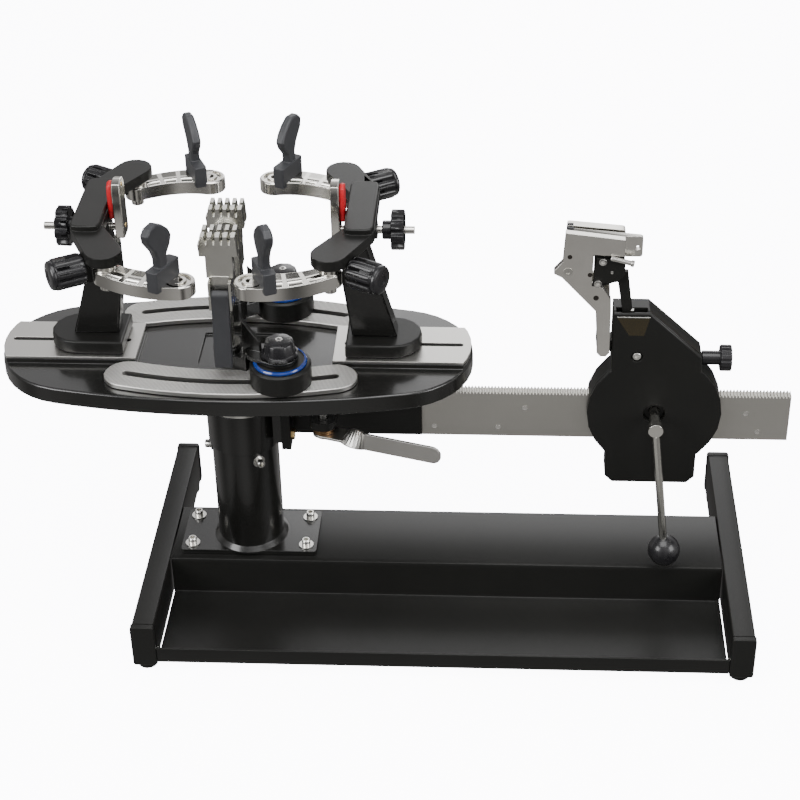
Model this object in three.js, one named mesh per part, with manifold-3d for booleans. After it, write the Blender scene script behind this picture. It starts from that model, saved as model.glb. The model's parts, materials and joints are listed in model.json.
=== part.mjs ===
// Tabletop racket stringing machine with a turntable, six frame supports, two gliding string
// clamps and a hand-cranked tension head on a toothed rail.
// Millimetres, +Z up. X runs along the toothed rail, from the turntable to the tension head.
// The sizes below are measured from the column's centre line and the floor; the finished group
// is moved so that its origin is at the middle of the footprint.

import * as THREE from 'three';
import { mergeVertices } from 'three/addons/utils/BufferGeometryUtils.js';
import Module from 'manifold-3d';

const wasm = await Module();
wasm.setup();

// Fits shared by all the pieces
const seatGap = 0.3; // between pieces that rest on each other
const runGap = 0.4; // between pieces that slide or turn
const overrun = 2; // how far a cut runs past the face it opens
const roundSteps = 14; // sides of a small round piece
const wideSteps = 24; // sides of a large round piece
const holeSteps = 8; // sides of a small hole
const cornerSteps = 2; // steps round a small corner
const bendSteps = 4; // steps round a large corner
const weldDistance = 0.0003; // points closer than this are one

// Base frame
const baseWidth = 655;
const baseDepth = 338;
const columnFromLeft = 110;
const columnFromFront = 164;
const railWidth = 24;
const railTop = 60;
const railBottom = 10;
const railEdge = 2;
const railWall = 2.5;
const capLength = 7;
const capOversize = 0.8;
const footRadius = 11;
const footFromEnd = 15;
const footTaper = 1.5;
const sheet = 3;
const bendRadius = 2.5;
const beamRear = 52;
const beamFront = 45;
const skirtBottom = 16;
const trayFloor = 14;
const trayReach = 115;
const trayLip = 18;

// Column
const flangeWidth = 150;
const flangeDepth = 74;
const flangeThickness = 6;
const flangeCorner = 4;
const boltInset = 12;
const boltHoleRadius = 3.4;
const columnRadius = 36;
const columnWall = 4;
const weldSize = 5;
const columnTop = 195;
const sleeveRadius = 39;
const sleeveTop = 243;
const sleeveFloor = 14;
const sleeveFlatProud = 4.5;
const sleeveFlatHalf = 20;
const spigotLength = 45;
const bearingHeight = 5;
const bearingRadius = 37.8;
const spindleRadius = 12;
const spindleLength = 46;

// Toothed rail and its bracket
const plateThickness = 10;
const plateHalfWidth = 32;
const plateBottom = 200;
const plateTop = 252;
const rackHalf = 6;
const rackBottom = 205;
const rackTop = 260.5;
const rackStart = 63;
const rackEnd = 580;
const toothDepth = 4.5;
const toothPitch = 7;
const toothTipShare = 0.3;
const cheekThickness = 4.5;
const cheekEnd = 192;
const cheekBottom = 207.5;
const cheekTop = 253;
const rackHoleRadius = 2.6;
const rackHoleInset = 11;
const rackHolePairs = 2;
const rackHoleSpread = 26;
const rackHoleStart = 78; // beyond the cheeks

// Turntable brake
const brakeX = 91;
const brakeY = -47;
const lugThickness = 9;
const lugTop = 253;
const lugHalfWidth = 14;
const brakeScrewRadius = 5;
const brakeHeadRadius = 8;
const brakeHeadHeight = 5;
const brakeNutRadius = 9;
const brakeNutHeight = 7;
const brakePadRadius = 12;
const brakePadHeight = 6;
const brakePadGap = 1;
const leverSheet = 3;
const leverHalfWidth = 11;
const leverFlat = 26;
const leverDrop = 2;
const leverReach = 84;
const paddleHeight = 20;
const leverStations = 8; // sections along the twisted neck
const paddleTipSteps = 4; // sections round the paddle's end
const leverAngle = -17;
const leverLow = 233;

// Turntable
const tableLength = 492;
const tableWidth = 202;
const tableEndRadius = 84;
const tableBottom = 288;
const tableTop = 307;
const tableEdge = 1.5;
const tableSteps = 8;
const hubRadius = 45;
const hubLipShare = 0.2;
const bossHeight = 5;
const stripWidth = 69;
const stripThickness = 3;
const stripInner = 102;
const stripSlotInner = 112;
const stripSlotEnd = 10;
const stripSlotWidth = 6;
const wellDepth = 3;
const wellHalfLength = 38;
const wellHalfWidth = 30;

// Glide bars
const glideRadius = 430;
const glideOffset = 73.5;
const glideWidth = 46;
const glideThickness = 6;
const glideEdge = 0.8;
const glideSteps = 5;
const glideEndAngle = 14.4;
const glideSlotWidth = 8.5;
const grooveWidth = 19;
const grooveDepth = 4.5;

// Towers
const footInner = 115;
const footOuter = 193;
const towerFootHalf = 30;
const towerFootHeight = 15;
const towerFootEdge = 1.5;
const postInnerLow = 121;
const postOuterLow = 168;
const postWaist = 391;
const postInnerWaist = 113;
const postOuterWaist = 151;
const postOuterHigh = 139;
const postLedge = 436;
const postHalf = 12;
const postEdge = 1.5;
const towerBoltRadius = 2.7;
const towerBoltX = 150;
const towerNutRadius = 9;
const towerNutHeight = 6;

// Yokes
const yokeBottom = 461;
const yokeThickness = 11;
const yokeMiddleX = 134.5;
const yokeMiddleY = 42;
const yokeHalf = 15.5;
const lobeX = 109;
const lobeY = 88;
const lobeRadius = 18;
const coverHalf = 52;
const coverHeight = 6;
const coverEdge = 1.2;
const coverInset = 1;
const knobAxisAngle = 30;
const knobAxisOffset = 12.8;
const knobLugStart = 12;
const knobLugThickness = 5.5;
const knobLugHalf = 9;
const knobLugDrop = 23;
const knobAxisZ = 451;

// Knobs
const armKnobRadius = 16;
const armKnobLength = 35;
const armKnobGap = 0.7;
const armKnobScrewRadius = 3.6;
const armKnobFlutes = 8;
const armKnobEdge = 2.5;
const fluteDepthShare = 0.07;
const fluteSides = 4; // corners for each flute
const starRadius = 21;
const starWidth = 13;
const starLobes = 8;
const starDipShare = 0.13;
const starEdge = 1;
const starNeckRadius = 9.5;
const starNeckLength = 9.5;
const washerThickness = 4;

// Centre supports
const supportAxisZ = 450;
const drawRodRadius = 4;
const drawRodOuter = 187;
const postNoseRadius = 9.5;
const postNoseOuter = 149.8;
const supportInner = 104;
const supportOuter = 113;
const supportHalf = 12;
const supportTop = 504;
const supportTopRadius = 10;
const supportLow = 441;
const padThickness = 5;
const padHalf = 9;
const padLow = 461;
const padHigh = 501;

// Side arms and hooks
const armTop = 452;
const armHeight = 14;
const armHalf = 15.5;
const armRootHalf = 12;
const armTipX = 34;
const armTipY = 108;
const armBendX = 72;
const armBendY = 113;
const armWall = 3.5;
const armFloor = 3;
const armEdge = 1;
const armWebShares = [0.2, 0.42, 0.46, 0.66, 0.7, 0.92];
const armWindowShares = [0.26, 0.38];
const armHubRadius = 10;
const armPinRadius = 5;
const armPinHeight = 8;
const armBossRadius = 6.5;
const armBossDrop = 8;
const armHeelReach = 16;
const armHeelHalf = 5;
const armTipHoleRadius = 3.5;
const armSteps = 3;
const hookShare = 0.81;
const hookAngle = -115; // the way the bar points, from the arm's outer side to its inner side
const hookBarLength = 40;
const hookBarWidth = 13;
const hookBarTop = 470;
const hookSlotDepth = 5;
const hookFinWidth = 9.5;
const hookFinHeight = 48;
const hookFinLength = 39;
const hookFinOverhang = 5;
const hookFinEdge = 1.5;
// Places on the fin, as shares of its length and of its height over the bar
const hookFinShares = [
  [0.72, -0.04], [0.74, 0.2], [0.92, 0.38], [1, 0.55], [0.9, 0.72], [0.69, 0.88],
  [0.44, 1], [0.15, 0.98], [0, 0.86], [0.03, 0.68], [0.28, 0.4], [0.38, 0.2], [0.38, -0.04],
];

// String clamps
const clampFrontPlaceAngle = 7.1;
const clampRearPlaceAngle = 5.6;
const clampSwingReach = 59;
const clampFrontSwingAngle = 160;
const clampRearSwingAngle = 212;
const clampFrontLowering = 6;
const clampRearLowering = 24;
const shoeHeight = 3.6;
const shoeRadius = 8.9;
const shoeNeckRadius = 3.9;
const cupRadius = 31.5;
const cupHeight = 23;
const cupEdge = 2;
const ringRadius = 25;
const ringHeight = 2.5;
const studRadius = 5;
const studHeight = 19;
const swingHubHeight = 8;
const swingHubRadius = 19;
const swingDepth = 22;
const swingWebDrop = 6.5;
const swingPlateReach = 24;
const swingPlateHalf = 14;
const swingWebHalf = 10;
const socketRadius = 14.5;
const sleeveOuterRadius = 11.8;
const sleeveFlangeRadius = 14;
const sleeveFlangeHeight = 2.5;
const ribHalf = 2.5;
const ribHeight = 33.5;
const ribStart = 18.6;
const ribMiddleShare = 0.22;
const ribMiddleHeight = 22;
const ribFoot = 42;
const lockTopRadius = 14.5;
const lockLowRadius = 17;
const lockFlangeRadius = 19;
const lockFlangeHeight = 4;
const lockHeight = 19;
const lockFlutes = 8;
const lockEdge = 2;
const clampBarHalf = 7.5;
const clampBarEdge = 2.5;
const clampBarEntry = 6;
const clampHeight = 136;
const jawHalf = 19;
const jawThickness = 10.5;
const jawGap = 4.6;
const jawHeight = 22;
const jawTeeth = 5;
const jawToothHeight = 9;
const toothRootShare = 0.66;
const toothTipWideShare = 0.4;
const apronHalf = 13.3;
const apronDepth = 46;
const bodyDepth = 82;
const clampBarDepth = 67;
const cheekHalf = 11.5;
const cheekWall = 2.5;
const cheekLowDepth = 78;
const cheekHighDepth = 47;
const cheekFront = 22;
const jawPinRadius = 2.5;
const jawPinDepth = 72;
const jawPinY = 10.8;
const stemDepth = 77;
const stemFront = 13.5;
const stemRear = 8;
const leverPinDepth = 60;
const leverPinY = 18.5;
const leverEyeRadius = 3.8;
const clampLeverFront = 24;
const clampLeverRear = 16;
const clampLeverDepth = 140;
const clampLeverLean = 9;
const dialRadius = 13;
const dialThickness = 5;
const dialDepth = 24;

// Tension head
const headX = 436.5;
const headZ = 244;
const headRadius = 70.5;
const headFront = 17;
const headRear = 15;
const coverThickness = 4.5;
const headEdge = 1.2;
const headLeft = 389;
const headTop = 366;
const headFlatRight = 426;
const headShoulderX = 482;
const headShoulderZ = 314;
const headRightZ = 290;
const headUpperLow = 250;
const headFootLeft = 388;
const headFootRight = 484;
const headFootBottom = 154;
const headFootCorner = 8;
const hubHoleRadius = 11.5;
const headScrewX = 415;
const headScrewZ = 314;
const headScrewRadius = 6;
const slitLeft = 392;
const slitRight = 424;
const slitDepth = 44;
const slitWidth = 8;
const crankShaftRadius = 5.5;
const crankShaftInner = 7.5;
const crankPlane = 46;
const crankHubRadius = 8;
const crankHubHeight = 9;
const crankLength = 159;
const crankLeanAngle = 6.5;
const crankRodRadius = 4.3;
const ballRadius = 17.5;
const ballBoreDepth = 24;
const tensionKnobZ = 304;
const tensionStemRadius = 7.5;
const tensionStemLength = 20.5;
const tensionKnobRadius = 14;
const tensionKnobWidth = 10;
const tensionKnobFlutes = 10;
const tensionSeatDepth = 12;
const tensionSeatRadius = 4;

// String gripper
const gripperLeft = 327;
const gripperWidth = 70;
const gripperLow = 314;
const gripperHeight = 144;
const gripperFrontDepth = 7.7;
const gripperRearDepth = 5;
const gripperRearReach = 14;
const gripperJawRight = 415;
const gripperJawLeft = 339;
const gripperRearJawRight = 398;
const gripperJawLow = 428;
const gripperJawTop = 451;
const gripperSlotFront = 1.5;
const gripperGap = 4.6;
const gripperBridgeLow = 404;
const gripperBridgeRight = 364;
const gripperBridgeLeft = 341;
const gripperPinX = 379.5;
const gripperPinZ = 322;
const gripperEarRadius = 6.5;
const gripperPinRadius = 3;
const gripperHoleRadius = 2.6;
const gripperJawHoleX = 410;
const gripperJawHoleZ = 438;
const bracketThickness = 5;
const strutDepth = 6;
// Places on the gripper's side plate, as shares of its width and height
const gripperSideShares = [
  [0.15, 1], [0.12, 0.77], [0, 0.7], [0, 0.675], [0.117, 0.644], [0.626, 0.372], [0.663, 0.097],
  [0.66, 0.03], [0.714, 0], [0.8, 0], [0.85, 0.03], [0.843, 0.373], [0.834, 0.472], [0.71, 0.568],
  [0.55, 0.591], [0.56, 0.831], [1, 0.82], [1, 0.951],
];
// Places on the bracket and on its strut, in the same shares
const bracketShares = [
  [0.569, 0.594], [0.717, 0.574], [0.923, 0.614], [1.004, 0.663], [1.004, 0.815], [0.569, 0.826],
];
const strutShares = [[0.893, 0.681], [1.071, 0.201], [1.204, 0.201], [1.069, 0.681]];

const degrees = Math.PI / 180;

// Solids and cuts

// A closed geometry as a solid that can be joined and cut.
function solidOf(geometry) {
  const bare = geometry.clone();
  bare.deleteAttribute('normal');
  bare.deleteAttribute('uv');
  const merged = mergeVertices(bare, weldDistance);
  const solid = new wasm.Manifold(new wasm.Mesh({
    numProp: 3,
    vertProperties: new Float32Array(merged.attributes.position.array),
    triVerts: new Uint32Array(merged.index.array),
  }));
  return solid;
}

// A solid as a geometry for a mesh.
function geometryOf(solid) {
  const mesh = solid.getMesh();
  const geometry = new THREE.BufferGeometry();
  geometry.setAttribute('position', new THREE.BufferAttribute(new Float32Array(mesh.vertProperties), 3));
  geometry.setIndex(new THREE.BufferAttribute(new Uint32Array(mesh.triVerts), 1));
  const flat = geometry.toNonIndexed();
  flat.computeVertexNormals();
  return flat;
}

// The first geometry, joined with some and cut by others.
function build(first, joined = [], cuts = []) {
  let solid = solidOf(first);
  for (const geometry of joined) solid = solid.add(solidOf(geometry));
  for (const geometry of cuts) solid = solid.subtract(solidOf(geometry));
  return geometryOf(solid);
}

// A block between two corners.
function block(x0, x1, y0, y1, z0, z1) {
  const geometry = new THREE.BoxGeometry(x1 - x0, y1 - y0, z1 - z0);
  geometry.translate((x0 + x1) / 2, (y0 + y1) / 2, (z0 + z1) / 2);
  return geometry;
}

// An outline in plan, raised from z0 to z1, with an optional chamfer round both faces.
function raised(shape, z0, z1, edge = 0, curveSegments = holeSteps) {
  const geometry = new THREE.ExtrudeGeometry(shape, {
    depth: z1 - z0 - 2 * edge,
    bevelEnabled: edge > 0,
    bevelSize: edge,
    bevelThickness: edge,
    bevelOffset: -edge,
    bevelSegments: 1,
    curveSegments,
  });
  geometry.translate(0, 0, z0 + edge);
  return geometry;
}

// An outline drawn in X and Z, spread over a stretch of Y.
function upright(shape, y0, y1, edge = 0, curveSegments = holeSteps) {
  const geometry = raised(shape, -y1, -y0, edge, curveSegments);
  geometry.rotateX(Math.PI / 2);
  return geometry;
}

// An outline drawn in Y and Z, spread over a stretch of X.
function lengthwise(shape, x0, x1, edge = 0, curveSegments = holeSteps) {
  const geometry = raised(shape, x0, x1, edge, curveSegments);
  geometry.rotateX(Math.PI / 2);
  geometry.rotateZ(Math.PI / 2);
  return geometry;
}

// A turned piece about the vertical, from pairs of radius and height.
function turned(profile, steps = roundSteps) {
  const geometry = new THREE.LatheGeometry(profile.map(([r, z]) => new THREE.Vector2(r, z)), steps);
  geometry.rotateX(Math.PI / 2);
  return geometry;
}

// A plain round bar or hole about the vertical.
function bar(radius, z0, z1, steps = roundSteps) {
  return turned([[0, z0], [radius, z0], [radius, z1], [0, z1]], steps);
}

// The same, laid along Y from y0 to y1 at a given X and Z.
function barAlongY(radius, x, z, y0, y1, steps = roundSteps) {
  const geometry = bar(radius, -y1, -y0, steps);
  geometry.rotateX(Math.PI / 2);
  geometry.translate(x, 0, z);
  return geometry;
}

// The same, laid along X from x0 to x1 at a given Y and Z.
function barAlongX(radius, y, z, x0, x1, steps = roundSteps) {
  const geometry = bar(radius, x0, x1, steps);
  geometry.rotateY(Math.PI / 2);
  geometry.translate(0, y, z);
  return geometry;
}

function moved(geometry, x, y, z = 0) {
  geometry.translate(x, y, z);
  return geometry;
}

// A geometry mirrored left to right or front to back, with its faces still outward.
function mirrored(geometry, alongX, alongY) {
  const flat = geometry.index ? geometry.toNonIndexed() : geometry.clone();
  flat.scale(alongX, alongY, 1);
  if (alongX * alongY < 0) {
    const place = flat.attributes.position;
    for (let i = 0; i < place.count; i += 3) {
      const [x, y, z] = [place.getX(i), place.getY(i), place.getZ(i)];
      place.setXYZ(i, place.getX(i + 1), place.getY(i + 1), place.getZ(i + 1));
      place.setXYZ(i + 1, x, y, z);
    }
  }
  flat.computeVertexNormals();
  return flat;
}

// A closed outline through points, as straight edges.
function outline(points) {
  return new THREE.Shape(points.map(([x, y]) => new THREE.Vector2(x, y)));
}

// A closed outline through points with each corner rounded by its own radius.
function roundedOutline(points) {
  const shape = new THREE.Shape();
  const count = points.length;
  for (let i = 0; i < count; i += 1) {
    const [x, y, radius = 0] = points[i];
    const corner = new THREE.Vector2(x, y);
    const before = new THREE.Vector2(...points[(i + count - 1) % count].slice(0, 2)).sub(corner);
    const after = new THREE.Vector2(...points[(i + 1) % count].slice(0, 2)).sub(corner);
    const turn = Math.abs(before.angle() - after.angle());
    const half = (turn > Math.PI ? 2 * Math.PI - turn : turn) / 2;
    const reach = Math.min(radius / Math.tan(half), before.length() / 2, after.length() / 2);
    const start = corner.clone().add(before.setLength(reach));
    const end = corner.clone().add(after.setLength(reach));
    if (i === 0) shape.moveTo(start.x, start.y);
    else if (shape.currentPoint.distanceTo(start) > weldDistance) shape.lineTo(start.x, start.y);
    if (reach > 0) shape.quadraticCurveTo(corner.x, corner.y, end.x, end.y);
  }
  shape.closePath();
  return shape;
}

function roundedBox(x0, x1, y0, y1, radius) {
  return roundedOutline([[x0, y0, radius], [x1, y0, radius], [x1, y1, radius], [x0, y1, radius]]);
}

// A round outline with shallow flutes cut round it.
function flutedOutline(radius, flutes, depthShare) {
  const points = [];
  const count = flutes * fluteSides;
  for (let i = 0; i < count; i += 1) {
    const angle = (2 * Math.PI * i) / count;
    const dip = Math.max(0, Math.cos(flutes * angle)) * depthShare;
    points.push([radius * (1 - dip) * Math.cos(angle), radius * (1 - dip) * Math.sin(angle)]);
  }
  return outline(points);
}

const material = (colour, roughness, metalness) => new THREE.MeshStandardMaterial({
  color: colour,
  roughness,
  metalness,
});
const finishes = {
  powderCoat: () => material(0x3f3e43, 0.5, 0.15),
  glossBlack: () => material(0x17171a, 0.22, 0.1),
  matteBlack: () => material(0x222225, 0.6, 0.05),
  castSilver: () => material(0xb9b7b2, 0.35, 0.9),
  steel: () => material(0xa9a7a2, 0.38, 0.95),
  knurled: () => material(0xc4c3c0, 0.5, 0.85),
  chrome: () => material(0xd2d2d4, 0.12, 1),
  nylon: () => material(0x3b3c40, 0.65, 0),
  redRubber: () => material(0x9a1620, 0.5, 0),
};

const machine = new THREE.Group();

// One named piece with its own material.
function add(name, geometry, finish) {
  const mesh = new THREE.Mesh(geometry, finish());
  mesh.name = name;
  machine.add(mesh);
  return mesh;
}

// Base frame: two side rails with end caps and feet, joined by one folded steel sheet.

const baseLeft = -columnFromLeft;
const baseRight = baseWidth - columnFromLeft;
const baseFront = -columnFromFront;
const baseRear = baseDepth - columnFromFront;

function foot(x, y) {
  return moved(turned([
    [0, 0],
    [footRadius - footTaper, 0],
    [footRadius, footTaper],
    [footRadius, railBottom + capOversize],
    [0, railBottom + capOversize],
  ]), x, y);
}

function sideRail(x0) {
  const x1 = x0 + railWidth;
  const middle = (x0 + x1) / 2;
  const section = roundedBox(x0, x1, railBottom, railTop, railEdge);
  const tube = upright(section, baseFront + capLength / 2, baseRear - capLength / 2, 0, cornerSteps);
  const capSection = roundedBox(
    x0 - capOversize,
    x1 + capOversize,
    railBottom - capOversize,
    railTop + capOversize,
    railEdge + capOversize,
  );
  const hollow = block(
    x0 + railWall,
    x1 - railWall,
    baseFront + 2 * capLength,
    baseRear - 2 * capLength,
    railBottom + railWall,
    railTop - railWall,
  );
  const drain = moved(bar(railWall, railBottom - overrun, railBottom + 2 * railWall), middle, 0);
  return build(tube, [
    upright(capSection, baseFront, baseFront + capLength, 0, cornerSteps),
    upright(capSection, baseRear - capLength, baseRear, 0, cornerSteps),
    foot(middle, baseFront + footFromEnd),
    foot(middle, baseRear - footFromEnd),
  ], [hollow, drain]);
}

// The folded sheet: rear skirt, beam top, front face, tray floor and upturned lip.
function foldedSheet() {
  const outer = bendRadius + sheet;
  const points = [
    [beamRear, skirtBottom, 0],
    [beamRear, railTop, outer],
    [-beamFront, railTop, outer],
    [-beamFront, trayFloor, bendRadius],
    [-beamFront - trayReach, trayFloor, bendRadius],
    [-beamFront - trayReach, trayFloor + trayLip, 0],
    [-beamFront - trayReach - sheet, trayFloor + trayLip, 0],
    [-beamFront - trayReach - sheet, trayFloor - sheet, outer],
    [-beamFront + sheet, trayFloor - sheet, outer],
    [-beamFront + sheet, railTop - sheet, bendRadius],
    [beamRear - sheet, railTop - sheet, bendRadius],
    [beamRear - sheet, skirtBottom, 0],
  ];
  const x0 = baseLeft + railWidth + capOversize + seatGap;
  const x1 = baseRight - railWidth - capOversize - seatGap;
  return lengthwise(roundedOutline(points), x0, x1, 0, cornerSteps);
}

// Column: flanged tube, upper sleeve and thrust bearing.

function flangeBolts() {
  const x = flangeWidth / 2 - boltInset;
  const y = flangeDepth / 2 - boltInset;
  return [[-x, -y], [x, -y], [x, y], [-x, y]];
}

const flangeLow = railTop + seatGap;
const flangeTop = flangeLow + flangeThickness;

function column() {
  const flange = raised(roundedBox(
    -flangeWidth / 2,
    flangeWidth / 2,
    -flangeDepth / 2,
    flangeDepth / 2,
    flangeCorner,
  ), flangeLow, flangeTop, 0, cornerSteps);
  const tube = turned([
    [0, flangeLow],
    [columnRadius, flangeLow],
    [columnRadius + weldSize, flangeTop - overrun],
    [columnRadius + weldSize, flangeTop],
    [columnRadius, flangeTop + weldSize],
    [columnRadius, columnTop],
    [0, columnTop],
  ], wideSteps);
  const bore = bar(columnRadius - columnWall, flangeLow - overrun, columnTop + overrun, wideSteps);
  const holes = flangeBolts().map(([x, y]) => moved(
    bar(boltHoleRadius, flangeLow - overrun, flangeTop + overrun, holeSteps),
    x,
    y,
  ));
  return build(flange, [tube], [bore, ...holes]);
}

const sleeveLow = columnTop + seatGap;
const sleeveFlat = sleeveRadius + sleeveFlatProud;

// The sleeve drops into the column on a spigot, carries the bracket on a flat and ends in the
// race of the thrust bearing.
function columnSleeve() {
  const spigotRadius = columnRadius - columnWall - seatGap;
  const body = turned([
    [0, columnTop - spigotLength],
    [spigotRadius, columnTop - spigotLength],
    [spigotRadius, sleeveLow],
    [sleeveRadius, sleeveLow],
    [sleeveRadius, sleeveTop],
    [bearingRadius, sleeveTop],
    [bearingRadius, bearingTop],
    [0, bearingTop],
  ], wideSteps);
  const flat = block(0, sleeveFlat, -sleeveFlatHalf, sleeveFlatHalf, plateBottom, sleeveTop);
  const bore = bar(spindleRadius + runGap, columnTop - spigotLength + sleeveFloor, bearingTop + overrun);
  return build(body, [flat], [bore]);
}

const bearingTop = sleeveTop + bearingHeight;

// Toothed rail and the bracket that ties it to the sleeve.

const plateLow = sleeveFlat + seatGap;
const plateHigh = plateLow + plateThickness;

function railBracket() {
  const inner = rackHalf + seatGap;
  const outer = inner + cheekThickness;
  const plate = block(plateLow, plateHigh, -plateHalfWidth, plateHalfWidth, plateBottom, plateTop);
  const arm = block(plateHigh - overrun, cheekEnd, -outer, outer, cheekBottom, cheekTop);
  const way = block(
    rackStart - seatGap,
    cheekEnd + overrun,
    -inner,
    inner,
    cheekBottom - overrun,
    cheekTop + overrun,
  );
  const lug = raised(roundedOutline([
    [brakeX - lugHalfWidth, -inner, 0],
    [brakeX - lugHalfWidth, brakeY - lugHalfWidth, lugHalfWidth],
    [brakeX + lugHalfWidth, brakeY - lugHalfWidth, lugHalfWidth],
    [brakeX + lugHalfWidth, -inner, 0],
  ]), lugTop - lugThickness, lugTop, 0, bendSteps);
  const hole = moved(
    bar(brakeScrewRadius + runGap, lugTop - lugThickness - overrun, lugTop + overrun),
    brakeX,
    brakeY,
  );
  return build(plate, [arm, lug], [way, hole]);
}

// The rail's outline: a straight bar whose top edge is a row of teeth.
function toothedRail() {
  const root = rackTop - toothDepth;
  const length = rackEnd - rackStart;
  const teeth = Math.floor((length - 2 * toothPitch) / toothPitch);
  const tip = toothPitch * toothTipShare;
  const flank = (toothPitch - 2 * tip) / 2;
  const first = rackStart + (length - teeth * toothPitch) / 2;
  const points = [[rackStart, rackBottom], [rackEnd, rackBottom], [rackEnd, root]];
  for (let i = teeth - 1; i >= 0; i -= 1) {
    const start = first + i * toothPitch + tip / 2;
    points.push([start + 2 * flank + tip, root]);
    points.push([start + flank + tip, rackTop]);
    points.push([start + flank, rackTop]);
    points.push([start, root]);
  }
  points.push([rackStart, root]);
  const rail = upright(outline(points), -rackHalf, rackHalf);
  const middle = (rackBottom + root) / 2;
  const holes = [];
  for (let i = 0; i < rackHolePairs; i += 1) {
    for (const end of [cheekEnd + rackHoleStart, rackEnd - rackHoleSpread - rackHoleInset]) {
      const x = end + i * rackHoleSpread;
      const z = i === 0 ? middle - rackHoleInset : middle + rackHoleInset;
      holes.push(barAlongY(rackHoleRadius, x, z, -rackHalf - overrun, rackHalf + overrun, holeSteps));
    }
  }
  return build(rail, [], holes);
}

// Turntable brake: a lever turns a screw whose pad presses the underside of the turntable.

const leverTop = leverLow + leverSheet;

function brakeScrew() {
  const padTop = tableBottom - brakePadGap;
  const nutLow = leverTop + seatGap;
  return moved(turned([
    [0, leverLow - seatGap - brakeHeadHeight],
    [brakeHeadRadius / 2, leverLow - seatGap - brakeHeadHeight],
    [brakeHeadRadius, leverLow - seatGap - brakeHeadHeight / 2],
    [brakeHeadRadius, leverLow - seatGap],
    [brakeScrewRadius, leverLow - seatGap],
    [brakeScrewRadius, nutLow],
    [brakeNutRadius, nutLow],
    [brakeNutRadius, nutLow + brakeNutHeight],
    [brakeScrewRadius, nutLow + brakeNutHeight],
    [brakeScrewRadius, padTop - brakePadHeight],
    [brakePadRadius, padTop - brakePadHeight],
    [brakePadRadius, padTop],
    [0, padTop],
  ]), brakeX, brakeY);
}

// A flat eye, a bent neck and a blade twisted on edge, laid out along the lever's own length.
function brakeLever() {
  const eye = raised(roundedOutline([
    [-leverHalfWidth, -leverHalfWidth, leverHalfWidth],
    [leverFlat, -leverHalfWidth, 0],
    [leverFlat, leverHalfWidth, 0],
    [-leverHalfWidth, leverHalfWidth, leverHalfWidth],
  ]), leverLow, leverTop, 0, bendSteps);
  const bladeStart = leverFlat + paddleHeight;
  const blade = [];
  for (let i = 0; i <= leverStations; i += 1) {
    const along = i / leverStations;
    const turn = (Math.PI / 2) * along;
    const x = leverFlat - leverSheet + (bladeStart - leverFlat + leverSheet) * along;
    const half = leverHalfWidth + (paddleHeight / 2 - leverHalfWidth) * along;
    blade.push(bladeSection(x, half, turn, leverDrop * along));
  }
  const end = bladeStart + leverReach;
  blade.push(bladeSection(end - paddleHeight / 2, paddleHeight / 2, Math.PI / 2, leverDrop));
  for (let i = 1; i <= paddleTipSteps; i += 1) {
    const angle = ((Math.PI / 2) * i) / (paddleTipSteps + 1);
    const x = end - paddleHeight / 2 + (paddleHeight / 2) * Math.sin(angle);
    blade.push(bladeSection(x, (paddleHeight / 2) * Math.cos(angle), Math.PI / 2, leverDrop));
  }
  const hole = bar(brakeScrewRadius + seatGap, leverLow - overrun, leverTop + overrun);
  const geometry = build(eye, [lofted(blade)], [hole]);
  geometry.rotateZ(leverAngle * degrees);
  return moved(geometry, brakeX, brakeY);
}

// One section of the blade: a thin rectangle turned about the lever's length.
function bladeSection(x, half, turn, drop) {
  const middle = (leverLow + leverTop) / 2 - drop;
  const thin = leverSheet / 2;
  const corners = [[-half, -thin], [half, -thin], [half, thin], [-half, thin]];
  return corners.map(([a, b]) => [
    x,
    a * Math.cos(turn) - b * Math.sin(turn),
    middle + a * Math.sin(turn) + b * Math.cos(turn),
  ]);
}

// A skin through sections of the same number of corners, closed at both ends.
function lofted(sections) {
  const count = sections[0].length;
  const points = sections.flat();
  const index = [];
  for (let i = 0; i + 1 < sections.length; i += 1) {
    for (let j = 0; j < count; j += 1) {
      const a = i * count + j;
      const b = i * count + ((j + 1) % count);
      index.push(a, a + count, b, b, a + count, b + count);
    }
  }
  const last = (sections.length - 1) * count;
  for (let j = 1; j + 1 < count; j += 1) {
    index.push(0, j, j + 1);
    index.push(last, last + j + 1, last + j);
  }
  const geometry = new THREE.BufferGeometry();
  geometry.setAttribute('position', new THREE.BufferAttribute(new Float32Array(points.flat()), 3));
  geometry.setIndex(index);
  const solid = solidOf(geometry);
  if (solid.volume() > 0) return geometryOf(solid);
  const flipped = geometry.clone();
  flipped.setIndex(index.map((_, i) => index[i - (i % 3) + (2 - (i % 3))]));
  return flipped;
}

// Turntable: a long plate with bowed sides and round ends, raised and slotted at both ends.

// The side arcs touch the end arcs, so their radius follows from the length and the width.
function tableOutline(inset = 0) {
  const length = tableLength / 2 - inset;
  const width = tableWidth / 2 - inset;
  const end = tableEndRadius - inset;
  const side = (length * length + width * width - 2 * length * end) / (2 * (width - end));
  const reach = length - end;
  const angle = Math.atan2(side - width, reach);
  const shape = new THREE.Shape();
  shape.absarc(reach, 0, end, -angle, angle);
  shape.absarc(0, width - side, side, angle, Math.PI - angle);
  shape.absarc(-reach, 0, end, Math.PI - angle, Math.PI + angle);
  shape.absarc(0, side - width, side, Math.PI + angle, 2 * Math.PI - angle);
  return shape;
}

// A band along an arc about a centre on the Y axis, with round ends.
function arcBand(radius, centreY, half, halfAngle) {
  const shape = new THREE.Shape();
  const middle = -Math.PI / 2;
  const [start, end] = [middle - halfAngle, middle + halfAngle];
  const capX = radius * Math.cos(end);
  const capY = centreY + radius * Math.sin(end);
  shape.absarc(0, centreY, radius + half, start, end);
  shape.absarc(capX, capY, half, end, end + Math.PI);
  shape.absarc(0, centreY, radius - half, end, start, true);
  shape.absarc(-capX, capY, half, start - Math.PI, start);
  return shape;
}

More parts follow.
